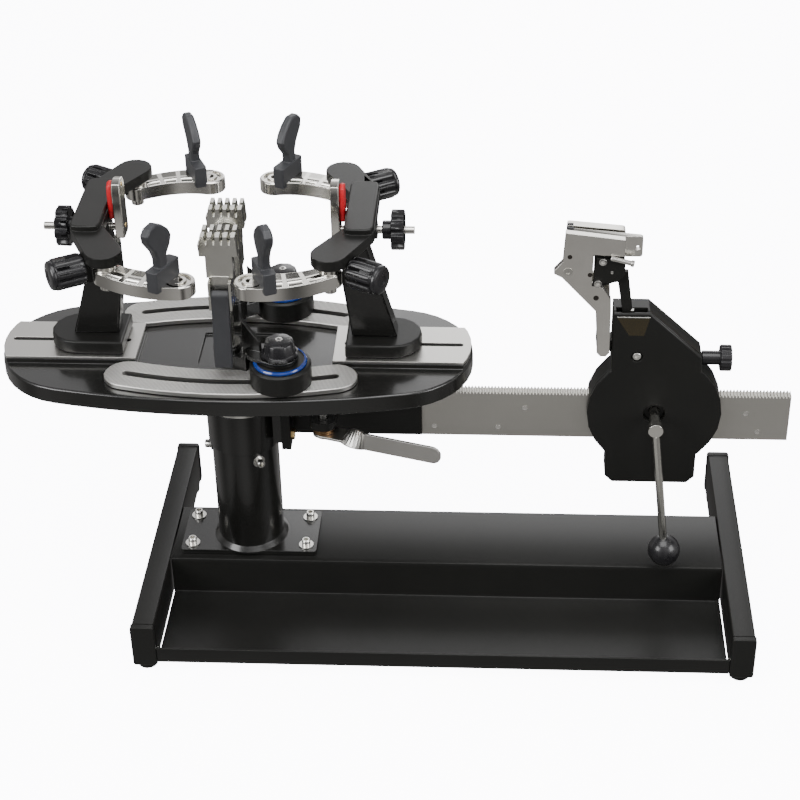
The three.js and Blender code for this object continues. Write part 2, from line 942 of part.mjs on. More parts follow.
const glideCentreY = glideRadius - glideOffset;
const stripSlotOuter = tableLength / 2 - stripSlotEnd;
const stripTop = tableTop + bossHeight + stripThickness;

// The round-ended slot in a guide strip, right-hand side, from its inner hole to its outer end.
function stripSlot(z0, z1) {
  const half = stripSlotWidth / 2;
  return raised(roundedOutline([
    [stripSlotInner, -half, half],
    [stripSlotOuter, -half, half],
    [stripSlotOuter, half, half],
    [stripSlotInner, half, half],
  ]), z0, z1, 0, cornerSteps);
}

// The stretch that a guide strip covers, right-hand side.
function stripSides(z0, z1) {
  return block(stripInner, tableLength, -stripWidth / 2, stripWidth / 2, z0, z1);
}

function turntablePlate() {
  const boss = solidOf(raised(tableOutline(tableEdge), tableTop - overrun, tableTop + bossHeight))
    .intersect(solidOf(stripSides(tableBottom, stripTop)));
  const bossGeometry = geometryOf(boss);
  const slot = stripSlot(tableBottom - overrun, stripTop);
  const well = raised(
    roundedBox(-wellHalfLength, wellHalfLength, -wellHalfWidth, wellHalfWidth, bendRadius),
    tableTop - wellDepth,
    tableTop + overrun,
    0,
    cornerSteps,
  );
  const groove = raised(
    arcBand(glideRadius, glideCentreY, grooveWidth / 2, glideEndAngle * degrees),
    tableTop - grooveDepth,
    tableTop + overrun,
    0,
    glideSteps,
  );
  return build(
    raised(tableOutline(), tableBottom, tableTop, tableEdge, tableSteps),
    [bossGeometry, mirrored(bossGeometry, -1, 1), turntableHub()],
    [slot, mirrored(slot, -1, 1), well, groove, mirrored(groove, 1, -1)],
  );
}

// A waisted hub on a spindle that runs down into the sleeve.
function turntableHub() {
  const low = bearingTop + seatGap;
  const waist = (spindleRadius + hubRadius) / 2;
  const high = tableBottom + overrun;
  const lip = (high - low) * hubLipShare;
  return turned([
    [0, bearingTop - spindleLength],
    [spindleRadius, bearingTop - spindleLength],
    [spindleRadius, low],
    [bearingRadius, low],
    [bearingRadius, low + lip],
    [waist, low + 2 * lip],
    [waist, high - 2 * lip],
    [hubRadius, high - lip],
    [hubRadius, high],
    [0, high],
  ], wideSteps);
}

function guideStrip() {
  const low = tableTop + bossHeight + seatGap;
  const sheetOutline = solidOf(raised(tableOutline(tableEdge), low, stripTop));
  const sides = solidOf(stripSides(low - overrun, stripTop + overrun));
  const slot = solidOf(stripSlot(low - overrun, stripTop + overrun));
  return geometryOf(sheetOutline.intersect(sides).subtract(slot));
}

// A bar that follows an arc about the far side of the turntable, with a slot along its middle.
function glideBar() {
  const low = tableTop + seatGap;
  const high = tableTop + glideThickness;
  const angle = glideEndAngle * degrees;
  const band = arcBand(glideRadius, glideCentreY, glideWidth / 2, angle);
  const slot = arcBand(glideRadius, glideCentreY, glideSlotWidth / 2, angle);
  return build(
    raised(band, low, high, glideEdge, glideSteps),
    [],
    [raised(slot, low - overrun, high + overrun, 0, glideSteps)],
  );
}

// Towers: a foot that slides on the strip, a tapered post and a forked head.

const towerLow = stripTop + seatGap;
const towerHigh = towerLow + towerFootHeight;

function towerFoot() {
  const half = towerFootHalf;
  const shape = new THREE.Shape();
  shape.moveTo(footInner, half);
  shape.lineTo(footInner, -half);
  shape.absarc(footOuter - half, 0, half, -Math.PI / 2, Math.PI / 2);
  const body = raised(shape, towerLow, towerHigh, towerFootEdge, bendSteps);
  const nutTop = tableBottom - runGap;
  const bolt = moved(turned([
    [0, nutTop - towerNutHeight],
    [towerNutRadius, nutTop - towerNutHeight],
    [towerNutRadius, nutTop],
    [towerBoltRadius, nutTop],
    [towerBoltRadius, towerLow + overrun],
    [0, towerLow + overrun],
  ]), towerBoltX, 0);
  return build(body, [bolt]);
}

// The post leans in, with a ledge below the fork that clears the centre support.
function towerPost() {
  const ledge = supportOuter + postHalf / 2;
  const body = upright(outline([
    [postInnerLow, towerHigh + seatGap],
    [postOuterLow, towerHigh + seatGap],
    [postOuterWaist, postWaist],
    [postOuterHigh, postLedge],
    [postOuterHigh, yokeBottom - seatGap],
    [ledge, yokeBottom - seatGap],
    [ledge, postLedge],
    [postInnerWaist, postLedge - postHalf / 2],
    [postInnerWaist, postWaist],
  ]), -postHalf, postHalf, postEdge);
  const nose = barAlongX(postNoseRadius, 0, supportAxisZ, postOuterHigh - overrun, postNoseOuter);
  const bore = barAlongX(drawRodRadius + runGap, 0, supportAxisZ, supportInner, drawRodOuter);
  return build(body, [nose], [bore]);
}

// The outline of a bar between two round ends of different size.
function linkOutline(x0, y0, r0, x1, y1, r1) {
  const length = Math.hypot(x1 - x0, y1 - y0);
  const heading = Math.atan2(y1 - y0, x1 - x0);
  const lean = Math.acos((r0 - r1) / length);
  const shape = new THREE.Shape();
  shape.absarc(x0, y0, r0, heading + lean, heading + 2 * Math.PI - lean);
  shape.absarc(x1, y1, r1, heading - lean, heading + lean);
  return shape;
}

// A place given along and across the line of the arm knob's screw, right rear quarter.
function alongKnob(along, across) {
  const angle = knobAxisAngle * degrees;
  return [
    lobeX + along * Math.cos(angle) + across * Math.sin(angle),
    lobeY + along * Math.sin(angle) - across * Math.cos(angle),
  ];
}

// A geometry drawn along +X from the arm's pivot, turned and moved onto the arm knob's line.
function ontoKnobLine(geometry) {
  geometry.rotateZ(knobAxisAngle * degrees);
  const [x, y] = alongKnob(0, knobAxisOffset);
  return moved(geometry, x, y);
}

function yoke() {
  const top = yokeBottom + yokeThickness;
  const middle = [yokeMiddleX, yokeMiddleY, yokeHalf];
  const parts = [
    linkOutline(yokeMiddleX, -yokeMiddleY, yokeHalf, ...middle),
    linkOutline(lobeX, lobeY, lobeRadius, ...middle),
    linkOutline(lobeX, -lobeY, lobeRadius, yokeMiddleX, -yokeMiddleY, yokeHalf),
  ].map((shape) => raised(shape, yokeBottom, top, 0, bendSteps));
  const coverX = yokeHalf - coverInset;
  const cover = raised(
    roundedBox(yokeMiddleX - coverX, yokeMiddleX + coverX, -coverHalf, coverHalf, yokeHalf / 2),
    top - overrun,
    top + coverHeight,
    coverEdge,
    cornerSteps,
  );
  const lugLow = yokeBottom - knobLugDrop;
  const lug = ontoKnobLine(block(
    knobLugStart,
    knobLugStart + knobLugThickness,
    -knobLugHalf,
    knobLugHalf,
    lugLow,
    yokeBottom + overrun,
  ));
  const lugBore = ontoKnobLine(barAlongX(
    armKnobScrewRadius + runGap,
    0,
    knobAxisZ,
    knobLugStart - overrun,
    knobLugStart + knobLugThickness + overrun,
    holeSteps,
  ));
  const pinBore = moved(
    bar(armPinRadius + runGap, yokeBottom - overrun, yokeBottom + armPinHeight + runGap),
    lobeX,
    lobeY,
  );
  return build(
    parts[0],
    [parts[1], parts[2], cover, lug, mirrored(lug, 1, -1)],
    [lugBore, mirrored(lugBore, 1, -1), pinBore, mirrored(pinBore, 1, -1)],
  );
}

// Star knob with a neck, threaded on the centre support's draw rod.
function starKnob(start) {
  const neckEnd = start + starNeckLength;
  const star = raised(
    flutedOutline(starRadius, starLobes, starDipShare),
    neckEnd - overrun,
    neckEnd + starWidth,
    starEdge,
  );
  star.rotateY(Math.PI / 2);
  star.translate(0, 0, supportAxisZ);
  const neck = barAlongX(starNeckRadius, 0, supportAxisZ, start, neckEnd);
  const bore = barAlongX(
    drawRodRadius + runGap,
    0,
    supportAxisZ,
    start - overrun,
    neckEnd + starWidth + overrun,
  );
  return build(neck, [star], [bore]);
}

// An upright blade with a round top on the end of its draw rod.
function centreSupport() {
  const blade = lengthwise(roundedOutline([
    [-supportHalf, supportLow, supportTopRadius / 2],
    [supportHalf, supportLow, supportTopRadius / 2],
    [supportHalf, supportTop, supportTopRadius],
    [-supportHalf, supportTop, supportTopRadius],
  ]), supportInner, supportOuter, coverInset, cornerSteps);
  const rod = barAlongX(drawRodRadius, 0, supportAxisZ, supportOuter - overrun, drawRodOuter);
  return build(blade, [rod]);
}

function supportPad() {
  const low = supportOuter + seatGap;
  return lengthwise(roundedOutline([
    [-padHalf, padLow, padHalf / 2],
    [padHalf, padLow, padHalf / 2],
    [padHalf, padHigh, padHalf],
    [-padHalf, padHigh, padHalf],
  ]), low, low + padThickness, coverInset, cornerSteps);
}

// Side arms, right rear quarter: a bowed casting with windows from its pivot to its tip.

const armCurve = new THREE.QuadraticBezierCurve(
  new THREE.Vector2(lobeX, lobeY),
  new THREE.Vector2(armBendX, armBendY),
  new THREE.Vector2(armTipX, armTipY),
);

function armHalfAt(share) {
  return armRootHalf + (armHalf - armRootHalf) * share;
}

// The outline of a stretch of the arm, drawn in from its edge.
function armStretch(from, to, inset) {
  const left = [];
  const right = [];
  for (let i = 0; i <= armSteps; i += 1) {
    const share = from + ((to - from) * i) / armSteps;
    const point = armCurve.getPoint(share);
    const along = armCurve.getTangent(share);
    const half = armHalfAt(share) - inset;
    left.push([point.x - along.y * half, point.y + along.x * half]);
    right.push([point.x + along.y * half, point.y - along.x * half]);
  }
  return outline([...left, ...right.reverse()]);
}

function sideArm() {
  const low = armTop - armHeight;
  const body = raised(armStretch(0, 1, 0), low, armTop);
  const tip = moved(turned([
    [0, low],
    [armHalf, low],
    [armHalf, armTop - armEdge],
    [armHalf - armEdge, armTop],
    [0, armTop],
  ]), armTipX, armTipY);
  const root = moved(bar(armRootHalf, low, armTop), lobeX, lobeY);
  const hub = moved(bar(armHubRadius, armTop - overrun, yokeBottom - seatGap), lobeX, lobeY);
  const boss = moved(bar(armBossRadius, low - armBossDrop, low + overrun), lobeX, lobeY);
  const pin = moved(bar(armPinRadius, armTop, yokeBottom + armPinHeight, holeSteps), lobeX, lobeY);
  const heel = raised(
    linkOutline(lobeX, lobeY, armHeelHalf, ...alongKnob(0, armHeelReach), armHeelHalf),
    low,
    armTop,
    0,
    bendSteps,
  );
  const cuts = [];
  for (let i = 0; i + 1 < armWebShares.length; i += 2) {
    const cell = armStretch(armWebShares[i], armWebShares[i + 1], armWall);
    cuts.push(raised(cell, low + armFloor, armTop + overrun));
  }
  const window = armStretch(armWindowShares[0], armWindowShares[1], 2 * armWall);
  cuts.push(raised(window, low - overrun, low + 2 * armFloor));
  cuts.push(moved(bar(armTipHoleRadius, low - overrun, armTop + overrun), armTipX, armTipY));
  const slotHalf = hookBarWidth / 2 + seatGap;
  cuts.push(ontoHookLine(block(
    -overrun,
    hookBarLength + overrun,
    -slotHalf,
    slotHalf,
    armTop - hookSlotDepth,
    armTop + overrun,
  )));
  return build(body, [tip, root, hub, boss, pin, heel], cuts);
}

// A geometry drawn along +X from the outer end of the hook's bar, turned onto the arm.
function ontoHookLine(geometry) {
  const seat = armCurve.getPoint(hookShare);
  geometry.translate(-hookBarLength / 2, 0, 0);
  geometry.rotateZ(hookAngle * degrees);
  return moved(geometry, seat.x, seat.y);
}

// Hook: a bar laid across the arm and a fin that rises from it and bends in over the hoop.
function hook() {
  const half = hookBarWidth / 2;
  const barLow = armTop - hookSlotDepth + seatGap;
  const foot = raised(
    roundedBox(0, hookBarLength, -half, half, hookFinEdge),
    barLow,
    hookBarTop,
    0,
    1,
  );
  const fin = upright(outline(hookFinShares.map(([along, up]) => [
    along * hookFinLength - hookFinOverhang,
    hookBarTop + up * hookFinHeight,
  ])), -hookFinWidth / 2, hookFinWidth / 2, hookFinEdge);
  return ontoHookLine(build(foot, [fin]));
}

// Arm knob: a fluted grip on the screw that swings an arm.
function armKnob() {
  const start = knobLugStart + knobLugThickness + armKnobGap;
  const end = start + armKnobLength;
  const rings = [
    [start, armKnobRadius - armKnobEdge / 2],
    [start + armKnobEdge, armKnobRadius],
    [end - armKnobEdge, armKnobRadius],
    [end, armKnobRadius - armKnobEdge],
  ].map(([x, radius]) => {
    const points = flutedOutline(radius, armKnobFlutes, fluteDepthShare).getPoints();
    return points.slice(0, -1).map((point) => [x, point.x, knobAxisZ + point.y]);
  });
  const screw = barAlongX(armKnobScrewRadius, 0, knobAxisZ, knobLugStart, start + overrun, holeSteps);
  return ontoKnobLine(build(lofted(rings), [screw]));
}

// String clamps, each drawn about its own post and about its base, then placed on a glide bar.

// Heights up the stack: the cup on its glide bar, the swing arm on the cup, the head on its post
const cupTop = tableTop + glideThickness + cupHeight;
const studTop = cupTop + studHeight;
const swingHubTop = cupTop + swingHubHeight;
const swingLow = swingHubTop - swingDepth;
const swingWebTop = swingHubTop - swingWebDrop;
const ribTop = swingHubTop + ribHeight;
const ribMiddleTop = swingHubTop + ribMiddleHeight;
const lockTop = swingHubTop + lockHeight;
const clampBarBottom = swingHubTop - clampBarEntry;
const clampTop = swingHubTop + clampHeight;
const cheekLow = clampTop - cheekLowDepth;
const cheekHigh = clampTop - cheekHighDepth;
const jawPinZ = clampTop - jawPinDepth;
const leverPinZ = clampTop - leverPinDepth;

function clampBase() {
  const shoeTop = tableTop - runGap;
  const low = tableTop + glideThickness + runGap;
  return turned([
    [0, shoeTop - shoeHeight],
    [shoeRadius, shoeTop - shoeHeight],
    [shoeRadius, shoeTop],
    [shoeNeckRadius, shoeTop],
    [shoeNeckRadius, low],
    [cupRadius, low],
    [cupRadius, cupTop - cupEdge],
    [cupRadius - cupEdge, cupTop],
    [ringRadius, cupTop],
    [ringRadius, cupTop + ringHeight],
    [studRadius, cupTop + ringHeight],
    [studRadius, studTop],
    [0, studTop],
  ], wideSteps);
}

// A hub on the stud, a web beyond the cup, a socket for the post and a rib over them all.
function swingArm() {
  const hubLow = cupTop + ringHeight + seatGap;
  const reach = clampSwingReach;
  const plate = raised(
    linkOutline(0, 0, swingHubRadius, swingPlateReach, 0, swingPlateHalf),
    hubLow,
    swingHubTop,
    0,
    bendSteps,
  );
  const webStart = cupRadius + overrun;
  const webStep = swingPlateReach + swingPlateHalf;
  const web = upright(outline([
    [webStart, swingLow],
    [reach, swingLow],
    [reach, swingWebTop],
    [webStep, swingWebTop],
    [webStep - overrun, swingHubTop - overrun],
    [webStart, swingHubTop - overrun],
  ]), -swingWebHalf, swingWebHalf);
  const socket = moved(bar(socketRadius, swingLow, swingHubTop), reach, 0);
  const ribLeft = lockFlangeRadius + overrun;
  const ribRight = reach - ribStart;
  const rib = upright(outline([
    [ribLeft, swingHubTop - overrun],
    [webStep, swingHubTop - overrun],
    [ribRight, swingWebTop - overrun],
    [ribRight, ribTop],
    [ribRight - ribFoot * ribMiddleShare, ribMiddleTop],
    [ribLeft, (swingHubTop + ribMiddleTop) / 2],
  ]), -ribHalf, ribHalf);
  const sleeveHole = bar(sleeveOuterRadius + runGap, swingLow - overrun, swingHubTop + overrun);
  const postHole = moved(sleeveHole, reach, 0);
  const studHole = bar(studRadius + runGap, hubLow - overrun, swingHubTop + overrun);
  return build(plate, [web, socket, rib], [postHole, studHole]);
}

// A flanged sleeve that turns in the arm's socket and guides the square post.
function clampSleeve() {
  const flangeFoot = swingHubTop + seatGap;
  const body = turned([
    [0, swingLow],
    [sleeveOuterRadius, swingLow],
    [sleeveOuterRadius, flangeFoot],
    [sleeveFlangeRadius, flangeFoot],
    [sleeveFlangeRadius, flangeFoot + sleeveFlangeHeight],
    [0, flangeFoot + sleeveFlangeHeight],
  ], wideSteps);
  const half = clampBarHalf + runGap;
  const hole = raised(
    roundedBox(-half, half, -half, half, clampBarEdge),
    swingLow - overrun,
    flangeFoot + sleeveFlangeHeight + overrun,
    0,
    1,
  );
  return build(body, [], [hole]);
}

function lockKnob() {
  const low = swingHubTop + seatGap;
  const coneLow = low + lockFlangeHeight;
  const rings = [
    [low, lockFlangeRadius, 0],
    [coneLow, lockFlangeRadius, 0],
    [coneLow + lockEdge, lockLowRadius, fluteDepthShare],
    [lockTop - lockEdge, lockTopRadius, fluteDepthShare],
    [lockTop, lockTopRadius - lockEdge, 0],
  ].map(([z, radius, depthShare]) => {
    const points = flutedOutline(radius, lockFlutes, depthShare).getPoints();
    return points.slice(0, -1).map((point) => [point.x, point.y, z]);
  });
  const bore = bar(studRadius + runGap, low - overrun, studTop + runGap);
  return build(lofted(rings), [], [bore]);
}

// A jaw's outline in X and Z: a block with a comb of tapered teeth along its top.
function jawOutline() {
  const root = clampTop - jawToothHeight;
  const pitch = (2 * jawHalf) / jawTeeth;
  const points = [[jawHalf, clampTop - jawHeight], [jawHalf, root]];
  for (let i = jawTeeth - 1; i >= 0; i -= 1) {
    const middle = -jawHalf + (i + 1 / 2) * pitch;
    const wide = (pitch * toothRootShare) / 2;
    const narrow = (pitch * toothTipWideShare) / 2;
    points.push([middle + wide, root], [middle + narrow, clampTop]);
    points.push([middle - narrow, clampTop], [middle - wide, root]);
  }
  points.push([-jawHalf, root], [-jawHalf, clampTop - jawHeight]);
  return outline(points);
}

// The fixed jaw on its square post, with two cheeks for the moving jaw and the lever.
function clampBody() {
  const front = jawGap / 2;
  const rear = front + jawThickness;
  const jaw = upright(jawOutline(), front, rear);
  const back = block(
    -cheekHalf,
    cheekHalf,
    front,
    rear,
    clampTop - bodyDepth,
    clampTop - jawHeight + overrun,
  );
  const post = raised(
    roundedBox(-clampBarHalf, clampBarHalf, -clampBarHalf, clampBarHalf, clampBarEdge),
    clampBarBottom,
    clampTop - clampBarDepth,
    0,
    1,
  );
  const cheeks = [-1, 1].map((side) => {
    const inner = side * (cheekHalf - cheekWall);
    const outer = side * cheekHalf;
    return block(
      Math.min(inner, outer),
      Math.max(inner, outer),
      -cheekFront,
      front + overrun,
      cheekLow,
      cheekHigh,
    );
  });
  const dial = barAlongY(dialRadius, 0, clampTop - dialDepth, rear - overrun, rear + dialThickness);
  const pinHoles = [[jawPinY, jawPinZ, jawPinRadius], [leverPinY, leverPinZ, jawPinRadius]]
    .map(([y, z, radius]) => barAlongX(
      radius + seatGap,
      -y,
      z,
      -cheekHalf - overrun,
      cheekHalf + overrun,
      holeSteps,
    ));
  return build(jaw, [back, post, ...cheeks, dial], pinHoles);
}

function clampJaw() {
  const rear = -jawGap / 2;
  const front = rear - jawThickness;
  const inner = cheekHalf - cheekWall - seatGap;
  const jaw = upright(jawOutline(), front, rear);
  const apron = block(
    -apronHalf,
    apronHalf,
    front,
    rear,
    clampTop - apronDepth,
    clampTop - jawHeight + overrun,
  );
  const stem = block(
    -inner,
    inner,
    -stemFront,
    -stemRear,
    clampTop - stemDepth,
    clampTop - apronDepth + overrun,
  );
  const pin = barAlongX(jawPinRadius, -jawPinY, jawPinZ, -cheekHalf, cheekHalf, holeSteps);
  return build(jaw, [apron, stem, pin]);
}

// The lever hangs in front of the jaw's stem, and its eye presses the stem when it swings.
function clampLever() {
  const inner = cheekHalf - cheekWall - seatGap;
  const profile = roundedOutline([
    [-clampLeverFront - clampLeverLean, clampTop - clampLeverDepth, leverEyeRadius],
    [-clampLeverRear - clampLeverLean, clampTop - clampLeverDepth, leverEyeRadius / 2],
    [-clampLeverRear, leverPinZ - leverEyeRadius, leverEyeRadius / 2],
    [leverEyeRadius - leverPinY, leverPinZ, leverEyeRadius / 2],
    [-leverPinY, leverPinZ + leverEyeRadius, leverEyeRadius / 2],
    [-clampLeverFront, leverPinZ, leverEyeRadius],
  ]);
  const body = lengthwise(profile, -inner, inner, 0, cornerSteps);
  const pin = barAlongX(jawPinRadius, -leverPinY, leverPinZ, -cheekHalf, cheekHalf, holeSteps);
  return build(body, [pin]);
}

// Tension head: a two-part housing that rides on the rail, a crank with a ball and a tension knob.

// The housing's outline, as overlapping plates: the round drum, the head above, the foot below.
function headPlates(y0, y1, edge) {
  const drum = barAlongY(headRadius, headX, headZ, y0, y1, wideSteps);
  const upper = upright(outline([
    [headLeft, headUpperLow],
    [headShoulderX + edge, headUpperLow],
    [headShoulderX + edge, headRightZ],
    [headShoulderX, headShoulderZ],
    [headFlatRight, headTop],
    [headLeft, headTop],
  ]), y0, y1, edge);
  const lower = upright(outline([
    [headFootLeft + headFootCorner, headFootBottom],
    [headFootRight - headFootCorner, headFootBottom],
    [headFootRight, headFootBottom + headFootCorner],
    [headFootRight, headZ],
    [headFootLeft, headZ],
    [headFootLeft, headFootBottom + headFootCorner],
  ]), y0, y1, edge);
  return [drum, upper, lower];
}

const headSplit = -headFront + coverThickness;

function headHousing() {
  const [drum, upper, lower] = headPlates(headSplit + seatGap, headRear, headEdge);
  const way = block(
    headX - 2 * headRadius,
    headX + 2 * headRadius,
    -rackHalf - runGap,
    rackHalf + runGap,
    rackBottom - runGap,
    rackTop + runGap,
  );
  const slit = block(
    slitLeft,
    slitRight,
    headSplit,
    headSplit + slitWidth,
    headTop - slitDepth,
    headTop + overrun,
  );
  const earHalf = gripperEarWidth() / 2;
  const earEnd = headLeft + overrun;
  const ear = upright(
    linkOutline(gripperPinX, gripperPinZ, gripperEarRadius, earEnd, gripperPinZ, gripperEarRadius),
    earMiddle() - earHalf,
    earMiddle() + earHalf,
    0,
    bendSteps,
  );
  const earBore = barAlongY(gripperPinRadius + runGap, gripperPinX, gripperPinZ, -headFront, headRear, holeSteps);
  const hub = barAlongY(
    crankShaftRadius + runGap,
    headX,
    headZ,
    headSplit - overrun,
    -crankShaftInner,
    roundSteps,
  );
  const seat = barAlongX(
    tensionSeatRadius + runGap,
    0,
    tensionKnobZ,
    headShoulderX - tensionSeatDepth,
    headShoulderX + 2 * overrun,
    holeSteps,
  );
  return build(drum, [upper, lower, ear], [way, slit, hub, earBore, seat]);
}

function headCover() {
  const [drum, upper, lower] = headPlates(-headFront, headSplit, headEdge);
  const hub = barAlongY(hubHoleRadius, headX, headZ, -headFront - overrun, headSplit + overrun);
  const screw = barAlongY(headScrewRadius, headScrewX, headScrewZ, -headFront - overrun, headSplit + overrun);
  return build(drum, [upper, lower], [hub, screw]);
}

// The ear that carries the gripper's pin sits between the gripper's two side plates.
function earMiddle() {
  return (-headFront + gripperFrontDepth + gripperRearReach - gripperRearDepth) / 2;
}

function gripperEarWidth() {
  return headFront + gripperRearReach - gripperFrontDepth - gripperRearDepth - 2 * seatGap;
}

// The crank is drawn hanging down from the drum's centre, then leaned.
function aboutDrum(geometry) {
  geometry.rotateY(-crankLeanAngle * degrees);
  return moved(geometry, headX, 0, headZ);
}

function crankArm() {
  const half = crankHubHeight / 2;
  const hub = barAlongY(crankHubRadius, 0, 0, -crankPlane - half, -crankPlane + half);
  const shaft = barAlongY(crankShaftRadius, 0, 0, -crankPlane, -crankShaftInner - seatGap);
  const rodEnd = crankLength + ballRadius - ballBoreDepth + ballRadius - overrun;
  const rod = moved(bar(crankRodRadius, -rodEnd + ballRadius - overrun, 0, holeSteps), 0, -crankPlane);
  return aboutDrum(build(hub, [shaft, rod]));
}

function crankBall() {
  const ball = new THREE.SphereGeometry(ballRadius, roundSteps, roundSteps / 2);
  ball.rotateX(Math.PI / 2);
  moved(ball, 0, -crankPlane, -crankLength);
  const boreLow = -crankLength + ballRadius - ballBoreDepth;
  const bore = moved(bar(crankRodRadius + runGap, boreLow, 0, holeSteps), 0, -crankPlane);
  return aboutDrum(build(ball, [], [bore]));
}

function tensionKnob() {
  const start = headShoulderX + headEdge + seatGap;
  const stemEnd = start + tensionStemLength;
  const end = stemEnd + tensionKnobWidth;
  const grip = raised(
    flutedOutline(tensionKnobRadius, tensionKnobFlutes, fluteDepthShare),
    stemEnd - overrun,
    end,
    starEdge,
  );
  grip.rotateY(Math.PI / 2);
  grip.translate(0, 0, tensionKnobZ);
  const stem = barAlongX(tensionStemRadius, 0, tensionKnobZ, start, stemEnd);
  const seat = barAlongX(
    tensionSeatRadius,
    0,
    tensionKnobZ,
    start - tensionSeatDepth + overrun,
    start + overrun,
    holeSteps,
  );
  return build(stem, [grip, seat]);
}

// String gripper: two side plates on a pin, a fixed jaw, a sliding jaw and a bracket with a strut.

const gripperFront = -headFront;
const gripperFrontInner = gripperFront + gripperFrontDepth;

// A plate of the gripper whose outline is given in shares of the side plate's width and height.
function gripperPlate(shares, y0, y1) {
  return upright(outline(shares.map(([across, up]) => [
    gripperLeft + across * gripperWidth,
    gripperLow + up * gripperHeight,
  ])), y0, y1);
}

function gripperFrame() {
  const slotFront = -gripperSlotFront;
  const front = gripperPlate(gripperSideShares, gripperFront, gripperFrontInner);
  const rearLeg = solidOf(gripperPlate(gripperSideShares, gripperRearReach - gripperRearDepth, gripperRearReach))
    .intersect(solidOf(block(
      gripperBridgeLeft,
      gripperJawRight,
      -headFront,
      headRear,
      0,
      gripperJawLow - seatGap,
    )));
  const jaw = upright(roundedOutline([
    [gripperJawLeft, gripperJawLow, 0],
    [gripperJawRight, gripperJawLow, gripperHoleRadius],
    [gripperJawRight, gripperJawTop, gripperHoleRadius],
    [gripperJawLeft, gripperJawTop, 0],
  ]), gripperFrontInner, slotFront, 0, cornerSteps);
  const bridge = block(
    gripperBridgeLeft,
    gripperBridgeRight,
    gripperFrontInner - overrun,
    gripperRearReach - overrun,
    gripperBridgeLow,
    gripperJawLow - seatGap,
  );
  const neck = block(
    gripperBridgeLeft,
    gripperBridgeRight,
    gripperFrontInner - overrun,
    slotFront,
    gripperBridgeLow,
    gripperJawLow + overrun,
  );
  const pin = barAlongY(gripperPinRadius, gripperPinX, gripperPinZ, gripperFront, gripperRearReach, holeSteps);
  const hole = barAlongY(
    gripperHoleRadius,
    gripperJawHoleX,
    gripperJawHoleZ,
    gripperFront,
    0,
    holeSteps,
  );
  return build(front, [geometryOf(rearLeg), jaw, bridge, neck, pin], [hole]);
}

function gripperJaw() {
  const front = gripperGap - gripperSlotFront;
  return upright(roundedOutline([
    [gripperJawLeft, gripperJawLow, 0],
    [gripperRearJawRight, gripperJawLow, gripperHoleRadius],
    [gripperRearJawRight, gripperJawTop, gripperHoleRadius],
    [gripperJawLeft, gripperJawTop, gripperHoleRadius],
  ]), front, gripperRearReach, 0, cornerSteps);
}

// The bracket stands beside the front plate, and its strut reaches into the housing's slit.
function gripperBracket() {
  const rear = gripperFrontInner - seatGap;
  const strutFront = headSplit + 2 * seatGap;
  const plate = gripperPlate(bracketShares, rear - bracketThickness, rear);
  const strut = gripperPlate(strutShares, strutFront, strutFront + strutDepth);
  return build(plate, [strut]);
}

// Assembly

const sides = [['left', -1], ['right', 1]];
const ends = [['front', -1], ['rear', 1]];

add('rail_left', sideRail(baseLeft), finishes.powderCoat);
add('rail_right', sideRail(baseRight - railWidth), finishes.powderCoat);
add('base_sheet', foldedSheet(), finishes.powderCoat);
add('column', column(), finishes.powderCoat);
add('column_sleeve', columnSleeve(), finishes.powderCoat);
add('rail_bracket', railBracket(), finishes.matteBlack);
add('rack_rail', toothedRail(), finishes.steel);
add('brake_screw', brakeScrew(), finishes.steel);
add('brake_lever', brakeLever(), finishes.steel);
add('turntable_plate', turntablePlate(), finishes.powderCoat);

for (const [side, sx] of sides) {
  add(`guide_strip_${side}`, mirrored(guideStrip(), sx, 1), finishes.steel);
  add(`tower_foot_${side}`, mirrored(towerFoot(), sx, 1), finishes.powderCoat);
  add(`tower_post_${side}`, mirrored(towerPost(), sx, 1), finishes.glossBlack);
  add(`yoke_${side}`, mirrored(yoke(), sx, 1), finishes.powderCoat);
  add(`centre_support_${side}`, mirrored(centreSupport(), sx, 1), finishes.castSilver);
  add(`support_pad_${side}`, mirrored(supportPad(), sx, 1), finishes.redRubber);
  const knobStart = postNoseOuter + armKnobGap + (sx > 0 ? washerThickness : 0);
  add(`star_knob_${side}`, mirrored(starKnob(knobStart), sx, 1), finishes.glossBlack);
  for (const [end, sy] of ends) {
    add(`side_arm_${end}_${side}`, mirrored(sideArm(), sx, sy), finishes.castSilver);
    add(`hook_${end}_${side}`, mirrored(hook(), sx, sy), finishes.nylon);
    add(`arm_knob_${end}_${side}`, mirrored(armKnob(), sx, sy), finishes.glossBlack);
  }
}
add('glide_bar_front', glideBar(), finishes.knurled);
add('glide_bar_rear', mirrored(glideBar(), 1, -1), finishes.knurled);

